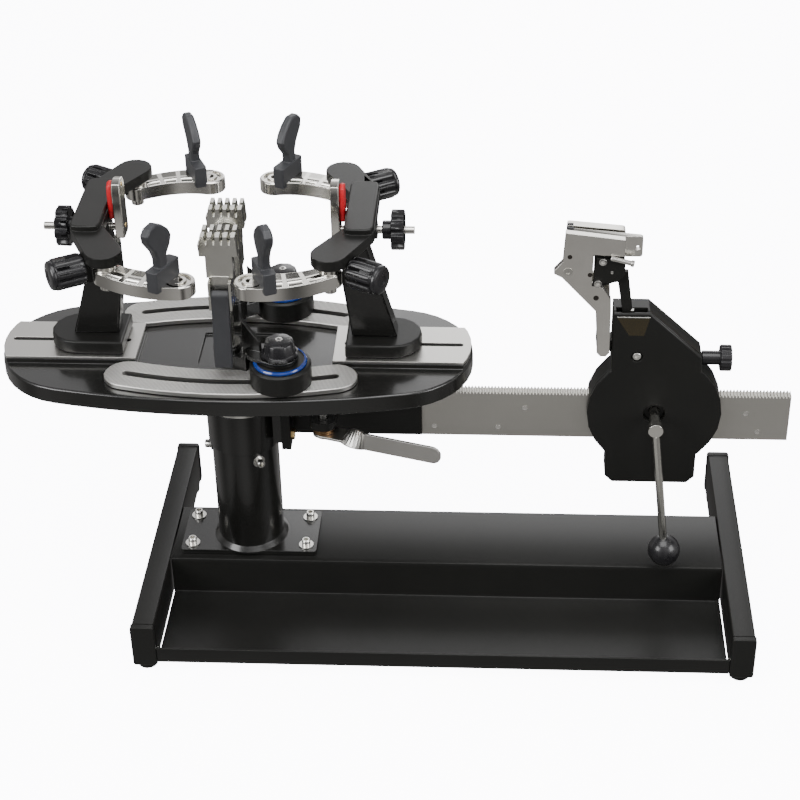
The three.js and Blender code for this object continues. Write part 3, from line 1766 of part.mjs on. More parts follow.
// Each clamp's base stands on its glide bar's slot, and its arm swings out to the post.
for (const [end, sy, along, swing, lowering] of [
  ['front', -1, clampFrontPlaceAngle, clampFrontSwingAngle, clampFrontLowering],
  ['rear', 1, clampRearPlaceAngle, clampRearSwingAngle, clampRearLowering],
]) {
  const place = -Math.PI / 2 + along * degrees;
  const baseX = glideRadius * Math.cos(place);
  const baseY = -sy * (glideCentreY + glideRadius * Math.sin(place));
  const heading = swing * degrees;
  const postX = baseX + clampSwingReach * Math.cos(heading);
  const postY = baseY + clampSwingReach * Math.sin(heading);
  const base = add(`clamp_base_${end}`, clampBase(), finishes.matteBlack);
  const arm = add(`swing_arm_${end}`, swingArm(), finishes.matteBlack);
  const lock = add(`lock_knob_${end}`, lockKnob(), finishes.matteBlack);
  for (const mesh of [base, arm, lock]) mesh.position.set(baseX, baseY, 0);
  arm.rotation.z = heading;
  const sleeve = add(`clamp_sleeve_${end}`, clampSleeve(), finishes.steel);
  sleeve.position.set(postX, postY, 0);
  const body = add(`clamp_body_${end}`, clampBody(), finishes.chrome);
  const jaw = add(`clamp_jaw_${end}`, clampJaw(), finishes.chrome);
  const lever = add(`clamp_lever_${end}`, clampLever(), finishes.matteBlack);
  for (const mesh of [body, jaw, lever]) mesh.position.set(postX, postY, -lowering);
  for (const mesh of [sleeve, body, jaw, lever]) mesh.rotation.z = sy > 0 ? Math.PI : 0;
}

add('head_housing', headHousing(), finishes.powderCoat);
add('head_cover', headCover(), finishes.powderCoat);
add('crank_arm', crankArm(), finishes.chrome);
add('crank_ball', crankBall(), finishes.glossBlack);
add('tension_knob', tensionKnob(), finishes.glossBlack);
for (const [name, geometry, finish] of [
  ['gripper_frame', gripperFrame(), finishes.castSilver],
  ['gripper_jaw', gripperJaw(), finishes.castSilver],
  ['gripper_bracket', gripperBracket(), finishes.matteBlack],
]) add(name, geometry, finish);

// The origin is the middle of the footprint, on the floor.
machine.position.set(
  -(rackEnd - tableLength / 2) / 2,
  -(baseFront + baseRear) / 2,
  0,
);

export default machine;
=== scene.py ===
import json
import math

import bmesh
import bpy
from mathutils import Matrix, Vector

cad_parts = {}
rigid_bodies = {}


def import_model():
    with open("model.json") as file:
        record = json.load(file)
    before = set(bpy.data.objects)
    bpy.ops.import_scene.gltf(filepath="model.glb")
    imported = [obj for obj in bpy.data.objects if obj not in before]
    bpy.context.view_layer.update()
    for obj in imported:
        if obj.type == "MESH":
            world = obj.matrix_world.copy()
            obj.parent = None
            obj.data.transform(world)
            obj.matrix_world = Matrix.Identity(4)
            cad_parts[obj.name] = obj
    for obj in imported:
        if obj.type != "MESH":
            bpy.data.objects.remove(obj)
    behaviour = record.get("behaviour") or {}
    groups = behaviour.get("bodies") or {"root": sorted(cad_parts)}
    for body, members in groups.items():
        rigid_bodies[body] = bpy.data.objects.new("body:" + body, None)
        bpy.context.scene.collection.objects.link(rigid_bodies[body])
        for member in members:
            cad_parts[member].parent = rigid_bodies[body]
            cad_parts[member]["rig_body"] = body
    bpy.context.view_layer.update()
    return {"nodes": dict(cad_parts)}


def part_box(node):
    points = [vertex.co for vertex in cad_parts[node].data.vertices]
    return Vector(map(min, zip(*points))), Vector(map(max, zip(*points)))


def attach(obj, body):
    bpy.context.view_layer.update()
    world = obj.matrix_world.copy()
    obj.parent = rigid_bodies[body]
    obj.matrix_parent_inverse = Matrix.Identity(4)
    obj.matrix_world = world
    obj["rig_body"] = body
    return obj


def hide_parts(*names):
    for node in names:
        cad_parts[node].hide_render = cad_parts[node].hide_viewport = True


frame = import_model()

nodes = frame["nodes"]

# Camera, floor and lights.
# The camera stands in front of the machine and looks down on it from standing height.
# The floor is pale and plain, and large soft lights stand left, right, above and behind.
camera_place = Vector((0.1129, -1.6615, 1.3612))
camera_right = Vector((0.9993, 0.0382, -0.0063))
camera_up = Vector((-0.0160, 0.5562, 0.8309))
frame_pixels = 800
camera_pixels = 1882.9
middle_pixel = (438.6, 395.6)
sensor = 36.0
camera_data = bpy.data.cameras.new("camera")
camera_data.sensor_width = sensor
camera_data.lens = sensor * camera_pixels / frame_pixels
camera_data.shift_x = 0.5 - middle_pixel[0] / frame_pixels
camera_data.shift_y = middle_pixel[1] / frame_pixels - 0.5
camera = bpy.data.objects.new("camera", camera_data)
back = camera_right.cross(camera_up).normalized()
level = camera_up.cross(back).normalized()
camera.matrix_world = Matrix((level, back.cross(level), back)).transposed().to_4x4()
camera.location = camera_place
bpy.context.scene.collection.objects.link(camera)
bpy.context.scene.camera = camera


class Wire:
    """An output of a shader node. Sums and products of wires add Math nodes."""

    def __init__(self, tree, socket=None):
        self.tree = tree
        self.socket = socket

    def node(self, kind, settings, sockets, output=0):
        made = self.tree.nodes.new("ShaderNode" + kind)
        for name, value in settings.items():
            if name == "stops":
                ramp = made.color_ramp.elements
                while len(ramp) < len(value):
                    ramp.new(0.5)
                for stop, (place, colour) in zip(ramp, value):
                    stop.position = place
                    stop.color = colour
            else:
                setattr(made, name, value)
        for name, value in sockets.items():
            if isinstance(value, Wire):
                self.tree.links.new(value.socket, made.inputs[name])
            else:
                made.inputs[name].default_value = value
        return Wire(self.tree, made.outputs[output])

    def maths(self, operation, first, second=0.0):
        return self.node("Math", {"operation": operation}, {0: first, 1: second})

    def __add__(self, other):
        return self.maths("ADD", self, other)

    __radd__ = __add__

    def __sub__(self, other):
        return self.maths("SUBTRACT", self, other)

    def __rsub__(self, other):
        return self.maths("SUBTRACT", other, self)

    def __mul__(self, other):
        return self.maths("MULTIPLY", self, other)

    __rmul__ = __mul__

    def __gt__(self, other):
        return self.maths("GREATER_THAN", self, other)


class Finish:
    """A material with one Principled shader. Its place is the piece's Object coordinates."""

    def __init__(self, name, **constants):
        self.material = bpy.data.materials.new(name)
        self.material.use_nodes = True
        self.tree = self.material.node_tree
        self.shader = self.tree.nodes["Principled BSDF"]
        for socket, value in constants.items():
            self.shader.inputs[socket.replace("_", " ")].default_value = value
        self.wire = Wire(self.tree)
        self.place = self.wire.node("TexCoord", {}, {}, "Object")

    def node(self, kind, settings, sockets, output=0):
        return self.wire.node(kind, settings, sockets, output)

    def axis(self, name, vector=None):
        """The place's X, Y or Z, or that of another vector."""
        return self.node("SeparateXYZ", {}, {"Vector": vector or self.place}, name)

    def stretched(self, x, y, z):
        """The place scaled along each axis, for a grain that runs one way."""
        return self.node("Mapping", {}, {"Vector": self.place, "Scale": (x, y, z)})

    def noise(self, scale, detail=2.0, vector=None):
        sockets = {"Vector": vector or self.place, "Scale": scale, "Detail": detail}
        return self.node("TexNoise", {}, sockets, "Fac")

    def between(self, share, low, high):
        """A number that runs from low to high as the share goes from 0 to 1."""
        return share * (high - low) + low

    def blend(self, share, first, second):
        """A colour between two, each a wire or red, green and blue."""
        colours = [c if isinstance(c, Wire) else (*c, 1) for c in (first, second)]
        settings = {"data_type": "RGBA"}
        return self.node("Mix", settings, {0: share, 6: colours[0], 7: colours[1]}, 2)

    def vary(self, share, first, second, rough, rough_share=None):
        """Colour and roughness each run between two values over the surface."""
        self.feed(
            Base_Color=self.blend(share, first, second),
            Roughness=self.between(rough_share or share, *rough),
        )

    def feed(self, **wires):
        for socket, wire in wires.items():
            self.tree.links.new(wire.socket, self.shader.inputs[socket.replace("_", " ")])

    def bump(self, height, depth):
        """Raises the surface by the height's share of a depth in metres."""
        settings = {"Height": height, "Distance": depth, "Strength": 1.0}
        self.feed(Normal=self.node("Bump", {}, settings))


floor_half = 40.0
floor_colour = (0.87, 0.86, 0.89)
floor_lighter = (0.8874, 0.8772, 0.9078)
floor_glow = (0.965, 0.955, 1.0, 1)
floor_finish = Finish(
    "pale_floor", Roughness=0.9, Emission_Color=floor_glow, Emission_Strength=11.0
)
floor_grain = floor_finish.noise(2.0)
floor_finish.feed(Base_Color=floor_finish.blend(floor_grain, floor_colour, floor_lighter))
floor_shape = bmesh.new()
bmesh.ops.create_grid(floor_shape, x_segments=1, y_segments=1, size=floor_half)
floor_mesh = bpy.data.meshes.new("floor")
floor_shape.to_mesh(floor_mesh)
floor_shape.free()
floor_mesh.materials.append(floor_finish.material)
floor = bpy.data.objects.new("floor", floor_mesh)
bpy.context.scene.collection.objects.link(floor)
floor.visible_diffuse = False
floor.visible_glossy = False

# Height as a share of the sky, and its colour there
sky_stops = [
    (0.2, (0.5, 0.49, 0.48, 1)),
    (0.52, (0.6, 0.59, 0.58, 1)),
    (0.78, (1.0, 0.99, 1.0, 1)),
]
patch_scale = 1.6
patch_contrast = 2.4
patch_shift = 0.55
world = bpy.data.worlds.new("studio")
world.use_nodes = True
sky = Wire(world.node_tree)
sky_way = sky.node("TexCoord", {}, {}, "Generated")
sky_height = sky.node("SeparateXYZ", {}, {"Vector": sky_way}, "Z") * 0.5 + 0.5
sky_colour = sky.node("ValToRGB", {"stops": sky_stops}, {"Fac": sky_height}, "Color")
sky_noise = {"Vector": sky_way, "Scale": patch_scale, "Detail": 0.0}
sky_patch = sky.node("TexNoise", {}, sky_noise, "Fac") * patch_contrast - patch_shift
sky_tint = sky.node("CombineXYZ", {}, {"X": sky_patch, "Y": sky_patch, "Z": sky_patch})
sky_light = sky.node("VectorMath", {"operation": "MULTIPLY"}, {0: sky_colour, 1: sky_tint})
background = world.node_tree.nodes["Background"]
world.node_tree.links.new(sky_light.socket, background.inputs["Color"])
background.inputs["Strength"].default_value = 1.0
bpy.context.scene.world = world

# Each light: name, place, size, power
light_target = Vector((0, 0, 0.25))
for name, place, size, power in (
    ("light_left", (-1.7, -1.3, 1.3), 1.2, 38),
    ("light_right", (1.9, -1.0, 1.2), 1.2, 30),
    ("light_top", (0.0, -0.5, 2.2), 1.6, 40),
    ("light_back", (0.2, 1.9, 0.9), 1.2, 9),
):
    data = bpy.data.lights.new(name, "AREA")
    data.size = size
    data.energy = power
    light = bpy.data.objects.new(name, data)
    light.location = place
    light.rotation_euler = (light_target - Vector(place)).to_track_quat("-Z", "Y").to_euler()
    bpy.context.scene.collection.objects.link(light)

# Side rails.
# Two square steel tubes stand front to back on rubber feet and carry the whole machine.
# They are welded from folded sheet, coated satin black, with pressed caps held by a screw.
mm = 0.001
table_low, table_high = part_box("turntable_plate")
post = Vector(((table_low.x + table_high.x) / 2, (table_low.y + table_high.y) / 2, 0))
body_of = {node: obj["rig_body"] for node, obj in nodes.items()}
crease = math.radians(32)
flat_turn = math.radians(1)
weld = 1e-6
seam_gap = 1e-4
to_left, to_right = (-1, 0, 0), (1, 0, 0)


def piece(name, shape, finish, body, edge=0.0, stands_for=(), sockets=None):
    """Makes a mesh object of a shape and lets it ride on its body.

    The edge is in millimetres, and faces marked as sockets take a finish of their own, which
    paints the shade in their hollow."""
    bmesh.ops.recalc_face_normals(shape, faces=shape.faces)
    mesh = bpy.data.meshes.new(name)
    shape.to_mesh(mesh)
    shape.free()
    for layer in [layer for layer in mesh.attributes if layer.name == "custom_normal"]:
        mesh.attributes.remove(layer)
    mesh.materials.clear()
    mesh.materials.append(finish.material)
    if sockets:
        mesh.materials.append(sockets.material)
    mesh.shade_smooth()
    made = bpy.data.objects.new(name, mesh)
    bpy.context.scene.collection.objects.link(made)
    if edge:
        rounding = made.modifiers.new("rounding", "BEVEL")
        rounding.width = edge * mm
        rounding.segments = 2
        rounding.limit_method = "ANGLE"
        rounding.angle_limit = crease
        rounding.harden_normals = True
        rounding.use_clamp_overlap = False
    else:
        mesh.set_sharp_from_angle(angle=crease)
    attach(made, body)
    if stands_for:
        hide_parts(*stands_for)
    return made


def dressed(node, finish, edge):
    """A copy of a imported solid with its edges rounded, which stands for it."""
    shape = bmesh.new()
    shape.from_mesh(nodes[node].data)
    bmesh.ops.remove_doubles(shape, verts=shape.verts, dist=weld)
    bmesh.ops.dissolve_limit(shape, angle_limit=flat_turn, verts=shape.verts, edges=shape.edges)
    return piece(node + "_skin", shape, finish, body_of[node], edge, (node,))


def put(target, shape, point, axis=(0, 0, 1), turn=0, side=1, end=1):
    """Adds a shape drawn in millimetres to a piece, its Z axis along the given axis.

    The point is in millimetres from the foot of the post. Side and end of -1 mirror it left
    and to the front. An axis that points straight up gives the shape a half turn."""
    aim = Vector(axis).to_track_quat("Z", "Y").to_matrix().to_4x4()
    stand = Matrix.Translation(point) @ aim @ Matrix.Rotation(math.radians(turn), 4, "Z")
    quarter = Matrix.Translation(post) @ Matrix.Diagonal((side * mm, end * mm, mm, 1))
    bmesh.ops.transform(shape, matrix=quarter @ stand, verts=shape.verts)
    loose = bpy.data.meshes.new("loose")
    shape.to_mesh(loose)
    target.from_mesh(loose)
    shape.free()
    bpy.data.meshes.remove(loose)


def spun(profile, steps):
    """A round shape about Z, spun from pairs of radius and height in millimetres."""
    shape = bmesh.new()
    points = [shape.verts.new((radius, 0, height)) for radius, height in profile]
    line = [shape.edges.new(pair) for pair in zip(points, points[1:])]
    bmesh.ops.spin(
        shape, geom=points + line, cent=(0, 0, 0), axis=(0, 0, 1),
        angle=2 * math.pi, steps=steps, use_merge=True,
    )
    bmesh.ops.remove_doubles(shape, verts=shape.verts, dist=seam_gap)
    return shape


socket_floor = 0.1
chamfer_radius = 0.86
chamfer_height = 0.85
washer_thickness = 1.0
screw_steps = 24


def screw_head(radius, height, socket=0.5, washer=0.0):
    """A cap screw's head, with a socket in its top and, where asked, a washer under it.

    The socket is a share of the radius, and the washer is a radius of its own."""
    well = radius * socket
    profile = [(0, height * socket_floor), (well, height * socket_floor), (well, height)]
    profile += [(radius * chamfer_radius, height), (radius, height * chamfer_height), (radius, 0)]
    if washer:
        profile += [(washer, 0), (washer, -washer_thickness), (0, -washer_thickness)]
    else:
        profile += [(0, 0)]
    head = spun(profile, screw_steps)
    # Faces in the socket take the second finish, painted dark as the shade in the hollow.
    for face in head.faces:
        middle = face.calc_center_median()
        face.material_index = int(middle.to_2d().length <= well and middle.z > 0)
    return head


powder = Finish("satin_powder_coat", Specular_IOR_Level=0.3)
powder_grain = powder.noise(1100.0, 3.0)
powder_cloud = powder.noise(16.0, 2.0)
# The coat runs in cloudy patches from black to a lighter black, a painted sheen.
powder_black, powder_painted_sheen = (0.0075, 0.0075, 0.0068), (0.0115, 0.0115, 0.0105)
powder.vary(powder_cloud, powder_black, powder_painted_sheen, rough=(0.3, 0.46), rough_share=powder_grain)
powder.bump(powder_grain, depth=0.00005)

plating = Finish("zinc_plating", Metallic=1.0)
plating_cloud = plating.noise(120.0, 3.0)
plating.vary(plating_cloud, (0.7, 0.69, 0.65), (0.86, 0.85, 0.82), rough=(0.16, 0.32))
plating.bump(plating.noise(700.0), depth=0.00003)

# Near black, painted as the shade inside screw sockets, bores and slits.
painted_hollow_shade = Finish("painted_hollow_shade", Specular_IOR_Level=0.3)
dark_cloud = painted_hollow_shade.noise(200.0)
painted_hollow_shade.vary(dark_cloud, (0.006, 0.005, 0.004), (0.02, 0.016, 0.012), rough=(0.5, 0.7))

cap_screw_radius = 3.2
cap_screw_height = 1.6
cap_screw_y = -154
cap_screw_z = 24
inner_faces = {"rail_left": (-85.2, to_right), "rail_right": (520.2, to_left)}
for node, (inner_face, inward) in inner_faces.items():
    dressed(node, powder, edge=1.0)
    cap_screw = bmesh.new()
    cap_screw_place = (inner_face, cap_screw_y, cap_screw_z)
    put(cap_screw, screw_head(cap_screw_radius, cap_screw_height), cap_screw_place, inward)
    piece(node + "_cap_screw", cap_screw, plating, body_of[node], sockets=painted_hollow_shade)

# Beam and tray.
# One steel sheet is folded into the rear skirt, the flat beam, the front step and the tray.
# It is welded between the rails and coated with them.
dressed("base_sheet", powder, edge=0.6)

# Column.
# A thick tube is welded to a flange, which four flanged screws hold on the beam.
# The coat is glossy black, and a machined sleeve with set screws caps the tube.
gloss = Finish("gloss_black_coat", Specular_IOR_Level=0.55, Coat_Weight=0.35, Coat_Roughness=0.08)
gloss_cloud = gloss.noise(30.0, 3.0)
gloss.vary(gloss_cloud, (0.006, 0.006, 0.0055), (0.011, 0.011, 0.0098), rough=(0.18, 0.3))
gloss.bump(gloss.noise(420.0), depth=0.00002)
for node in ("column", "column_sleeve"):
    dressed(node, gloss, edge=0.5)


def box_of(node):
    """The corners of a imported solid, in millimetres from the foot of the post."""
    return [(corner - post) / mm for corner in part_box(node)]


flange_thickness = 6
flange_half_depth = 37
screw_inset = 12
screw_radius = 4.6
flange_screw_height = 6.6
flange_washer = 8
flange_washer_lift = 1.3
flange_low, flange_high = box_of("column")
screw_x = (flange_high.x - flange_low.x) / 2 - screw_inset
screw_y = flange_half_depth - screw_inset
screw_z = flange_low.z + flange_thickness + flange_washer_lift
flange_screws = bmesh.new()
for side in (-1, 1):
    for end in (-1, 1):
        flange_screw = screw_head(
            screw_radius, flange_screw_height, socket=0.55, washer=flange_washer
        )
        put(flange_screws, flange_screw, (side * screw_x, end * screw_y, screw_z))
piece("flange_screws", flange_screws, plating, body_of["column"], sockets=painted_hollow_shade)
tube_radius = 37
tube_screw_level = 184
tube_screw_height = 7
tube_washer = 6.8
tube_screw_angles = (-60, -180, 60)
tube_screws = bmesh.new()
for angle in tube_screw_angles:
    way = Vector((math.cos(math.radians(angle)), math.sin(math.radians(angle)), 0))
    tube_screw_place = way * tube_radius + Vector((0, 0, tube_screw_level))
    tube_screw = screw_head(screw_radius, tube_screw_height, washer=tube_washer)
    put(tube_screws, tube_screw, tube_screw_place, way)
piece("tube_screws", tube_screws, plating, body_of["column"], sockets=painted_hollow_shade)


def flat_ring(inner, outer, height, steps):
    return spun([(inner, 0), (outer, 0), (outer, height), (inner, height), (inner, 0)], steps)


bearing_inner = 37.4
bearing_outer = 39.3
bearing_height = 3.6
bearing_level = 243.8
bearing = bmesh.new()
bearing_race = flat_ring(bearing_inner, bearing_outer, bearing_height, steps=96)
put(bearing, bearing_race, (0, 0, bearing_level))
piece("bearing_ring", bearing, plating, body_of["column_sleeve"], edge=0.3)

# Rail bracket and toothed rail.
# Two coated cheeks bolt to the column and grip a ground steel bar with teeth cut in its top.
# The tension head runs along it. A brass hex screw shows below the front cheek.
brushed = Finish("ground_steel", Metallic=1.0)
brushed_lines = brushed.noise(70.0, 4.0, brushed.stretched(1, 60, 60))
brushed_cloud = brushed.noise(9.0, 2.0)
brushed_dull, brushed_bright = (0.6, 0.585, 0.54), (0.74, 0.725, 0.68)
brushed.vary(
    brushed_cloud, brushed_dull, brushed_bright, rough=(0.3, 0.5), rough_share=brushed_lines
)
brushed.bump(brushed_lines, depth=0.00003)
brass = Finish("brass", Metallic=1.0)
brass.vary(brass.noise(200.0, 3.0), (0.62, 0.44, 0.2), (0.74, 0.56, 0.28), rough=(0.24, 0.4))
dressed("rail_bracket", powder, edge=0.5)


def raised(shape, faces, height):
    """Draws faces up along Z and gives the moved faces back."""
    drawn = bmesh.ops.extrude_face_region(shape, geom=faces)["geom"]
    verts = [part for part in drawn if isinstance(part, bmesh.types.BMVert)]
    bmesh.ops.translate(shape, vec=(0, 0, height), verts=verts)
    return [part for part in drawn if isinstance(part, bmesh.types.BMFace)]


to_front = (0, -1, 0)
tooth_pitch = 3.5
tooth_depth = 2.2
tooth_quarters = 4
gap_quarters = (2, 3)
rack_low, rack_high = box_of("rack_rail")
rack_size = rack_high - rack_low
rack_middle = (rack_low + rack_high) / 2
quarters = tooth_quarters * round(rack_size.x / tooth_pitch)
rack = bmesh.new()
bmesh.ops.create_grid(rack, x_segments=quarters, y_segments=1, size=0.5)
bmesh.ops.scale(rack, vec=(rack_size.x, rack_size.z, 1), verts=rack.verts)
for vert in rack.verts:
    quarter = round((vert.co.x / rack_size.x + 0.5) * quarters) % tooth_quarters
    if vert.co.y > 0 and quarter in gap_quarters:
        vert.co.y -= tooth_depth
raised(rack, rack.faces, rack_size.y)
toothed = bmesh.new()
put(toothed, rack, (rack_middle.x, rack_high.y, rack_middle.z), to_front)
piece(
    "toothed_rail", toothed, brushed, body_of["rack_rail"],
    stands_for=("rack_rail",),
)
rail_screw_radius = 2.8
rail_screw_height = 0.25
rail_screw_places = ((273, 216), (301, 241), (534, 238), (548, 215), (205, 216))
rail_screws = bmesh.new()
for x, z in rail_screw_places:
    rail_screw = screw_head(rail_screw_radius, rail_screw_height, socket=0.62)
    put(rail_screws, rail_screw, (x, rack_low.y, z), to_front)
piece("rail_screws", rail_screws, plating, body_of["rack_rail"], sockets=painted_hollow_shade)
hex_head = [(0, 0), (3.2, 0), (3.2, 3), (5.6, 3), (5.9, 3.4), (5.9, 8.6), (5.4, 9.2), (0, 9.2)]
hex_place = (48.4, -24, 215)
brass_screw = bmesh.new()
put(brass_screw, spun(hex_head, steps=6), hex_place, to_right)
piece("bracket_screw", brass_screw, brass, body_of["rail_bracket"])

# Brake.
# A lever of thick pressed steel turns a screw that presses a pad against the hub.
# Its nuts are plated steel over bronze washers.
dressed("brake_screw", plating, edge=0.4)
bronze = Finish("bronze", Metallic=1.0)
bronze.vary(bronze.noise(200.0, 3.0), (0.22, 0.13, 0.07), (0.34, 0.2, 0.1), rough=(0.3, 0.45))
lever_steel = Finish("pressed_steel", Metallic=1.0)
lever_cloud = lever_steel.noise(30.0, 3.0)
lever_steel.vary(lever_cloud, (0.6, 0.59, 0.56), (0.74, 0.73, 0.7), rough=(0.28, 0.38))
dressed("brake_lever", lever_steel, edge=0.4)
washer_inner = 9.2
washer_outer = 10.6
washer_height = 1.9
washer_x = 91
washer_y = -47
washer_levels = (236.6, 239.0, 241.4)
washers = bmesh.new()
for level in washer_levels:
    washer = flat_ring(washer_inner, washer_outer, washer_height, steps=48)
    put(washers, washer, (washer_x, washer_y, level))
piece("brake_washers", washers, bronze, body_of["brake_screw"], edge=0.3)

# Turntable.
# A thick aluminium plate, coated black, turns on the hub and carries the frame supports.
# Brushed steel strips guide the towers, and knurled alloy bars guide the clamps.
dressed("turntable_plate", gloss, edge=0.9)
satin_strip = Finish("brushed_strip", Metallic=1.0)
strip_lines = satin_strip.noise(40.0, 4.0, satin_strip.stretched(50, 1, 50))
satin_strip.vary(strip_lines, (0.62, 0.61, 0.58), (0.76, 0.75, 0.72), rough=(0.26, 0.42))
satin_strip.bump(strip_lines, depth=0.00003)
knurl = Finish("knurled_alloy", Metallic=1.0)
knurl_pitch = 0.0026
knurl_depth = 0.0007
facing_up = 0.9
knurl_wave = 2 * math.pi / knurl_pitch
knurl_x, knurl_y = knurl.axis("X"), knurl.axis("Y")
knurl_one_way = knurl.wire.maths("SINE", (knurl_x + knurl_y) * knurl_wave)
knurl_other_way = knurl.wire.maths("SINE", (knurl_x - knurl_y) * knurl_wave)
knurl_top = knurl.axis("Z", knurl.node("NewGeometry", {}, {}, "Normal")) > facing_up
knurl_height_and_shade = knurl_one_way * knurl_other_way * knurl_top * 0.5 + 0.5
# The knurl's valleys are painted dark as shade and its crests bright as a highlight; the bump
# uses the same height.
knurl.vary(knurl_height_and_shade, (0.16, 0.155, 0.14), (1.0, 0.99, 0.96), rough=(0.45, 0.3))
knurl.bump(knurl_height_and_shade, depth=knurl_depth)
sides = {"left": -1, "right": 1}
ends = {"front": -1, "rear": 1}
for side in sides:
    dressed("guide_strip_" + side, satin_strip, edge=0.4)
for end in ends:
    dressed("glide_bar_" + end, knurl, edge=0.3)

# Towers and yokes.
# Each tower is a cast foot and a leaning post under a wide yoke, bolted through its slot.
# The posts shine, and the feet and yokes have a finer satin coat.
for side in sides:
    dressed("tower_foot_" + side, powder, edge=0.9)
    dressed("tower_post_" + side, gloss, edge=1.0)
    dressed("yoke_" + side, powder, edge=0.6)

# Side arms.
# Four bowed arms are cast in light alloy with open cells, and polished.
# Each swings on a pin under its yoke and has a bored boss at the tip.
cast = Finish("polished_casting", Metallic=1.0)
cast_cloud = cast.noise(60.0, 4.0)
cast_grain = cast.noise(1400.0, 2.0)
cast_dull, cast_bright = (0.74, 0.72, 0.67), (0.88, 0.86, 0.81)
cast.vary(cast_cloud, cast_dull, cast_bright, rough=(0.14, 0.26), rough_share=cast_grain)
cast.bump(cast_grain, depth=0.000008)
arm_low = 438
arm_height = 14
arm_root_half = 12
arm_tip_half = 15.5
arm_wall = 2.4
arm_floor = 3
arm_root = Vector((109, 88))
arm_bend = Vector((72, 113))
arm_tip = Vector((34, 108))
arm_steps = 60
cell_steps = ((6, 18), (21, 32), (35, 47))


def arm_channel():
    """A channel with three cells, drawn straight and then bent from its root to its tip."""
    channel = bmesh.new()
    bmesh.ops.create_grid(channel, x_segments=arm_steps, y_segments=4, size=0.5)
    cells = []
    for face in raised(channel, channel.faces, arm_height):
        middle = face.calc_center_median()
        step = math.floor((middle.x + 0.5) * arm_steps)
        if abs(middle.y) < 0.25 and any(first <= step < last for first, last in cell_steps):
            cells.append(face)
    raised(channel, cells, arm_floor - arm_height)
    for vert in channel.verts:
        share = vert.co.x + 0.5
        rest = 1 - share
        half = arm_root_half + (arm_tip_half - arm_root_half) * share
        inner = half - arm_wall
        across = {-2: -half, -1: -inner, 0: 0, 1: inner, 2: half}[round(vert.co.y * 4)]
        along = (arm_bend - arm_root) * rest + (arm_tip - arm_bend) * share
        middle = arm_root * rest * rest + arm_bend * 2 * rest * share + arm_tip * share * share
        point = middle + Vector((-along.y, along.x)).normalized() * across
        vert.co = (point.x, point.y, vert.co.z)
    return channel


tip_boss = [
    (3.5, 0), (arm_tip_half, 0), (arm_tip_half, arm_height - 1.2),
    (arm_tip_half - 1.2, arm_height), (11.4, arm_height), (11, arm_height - 2.4),
    (7.6, arm_height - 2.4), (7.2, arm_height + 0.2), (3.9, arm_height + 0.2),
    (3.5, arm_height - 0.3), (3.5, 0),
]
root_boss = [
    (0, 0), (arm_root_half, 0), (arm_root_half, arm_height - 1),
    (arm_root_half - 1, arm_height), (10, arm_height), (10, arm_height + 8.7),
    (0, arm_height + 8.7),
]
arm_pin = [(0, 0), (6.5, 0), (6.5, 10), (0, 10)]
arm_pin_drop = 8
for side, side_way in sides.items():
    for end, end_way in ends.items():
        mirrored = {"side": side_way, "end": end_way}
        arm = bmesh.new()
        # This half turn cancels the one that an upright axis gives
        put(arm, arm_channel(), (0, 0, arm_low), turn=180, **mirrored)
        put(arm, spun(tip_boss, steps=64), (*arm_tip, arm_low), **mirrored)
        put(arm, spun(root_boss, steps=48), (*arm_root, arm_low), **mirrored)
        put(arm, spun(arm_pin, steps=32), (*arm_root, arm_low - arm_pin_drop), **mirrored)
        node = "side_arm_" + end + "_" + side
        piece(
            node + "_skin", arm, cast, body_of[node], edge=0.35,
            stands_for=(node,),
        )

# Hooks.
# A bar of dark moulded nylon lies in a slot across each arm.
# A fin on its outer end stands up as a stop.
nylon = Finish("dark_nylon")
nylon_grain = nylon.noise(1200.0, 2.0)
nylon_dark, nylon_pale = (0.026, 0.027, 0.03), (0.04, 0.041, 0.045)
nylon.vary(nylon.noise(50.0), nylon_dark, nylon_pale, rough=(0.42, 0.6), rough_share=nylon_grain)
nylon.bump(nylon_grain, depth=0.00005)
for side in sides:
    for end in ends:
        dressed("hook_" + end + "_" + side, nylon, edge=1.0)

# Arm knobs and star knobs.
# Moulded grips on steel screws: fluted barrels swing the arms, and lobed stars press the
# centre supports out. Their gloss is that of dark phenolic plastic.
phenolic = Finish("phenolic_plastic", Specular_IOR_Level=0.4, Coat_Weight=0.2, Coat_Roughness=0.1)
phenolic_cloud = phenolic.noise(70.0, 3.0)
phenolic.vary(phenolic_cloud, (0.01, 0.0098, 0.011), (0.017, 0.0165, 0.018), rough=(0.2, 0.34))


def grip(radius, flutes, dip, levels, round_share=0.5):
    """A fluted grip about Z, drawn up in steps of height and share of the radius."""
    shape = bmesh.new()
    bmesh.ops.create_circle(shape, cap_ends=True, radius=radius, segments=flutes * 10)
    height, share = levels[0]
    for vert in shape.verts:
        swing = math.cos(flutes * math.atan2(vert.co.y, vert.co.x))
        vert.co *= share * (1 - dip * max(0, swing) ** round_share)
    bmesh.ops.translate(shape, vec=(0, 0, height), verts=shape.verts)
    faces = list(shape.faces)
    for next_height, next_share in levels[1:]:
        faces = raised(shape, faces, next_height - height)
        growth = next_share / share
        bmesh.ops.scale(shape, vec=(growth, growth, 1), verts=list(faces[0].verts))
        height, share = next_height, next_share
    return shape


def middle_of(node):
    low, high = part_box(node)
    return ((low + high) / 2 - post) / mm


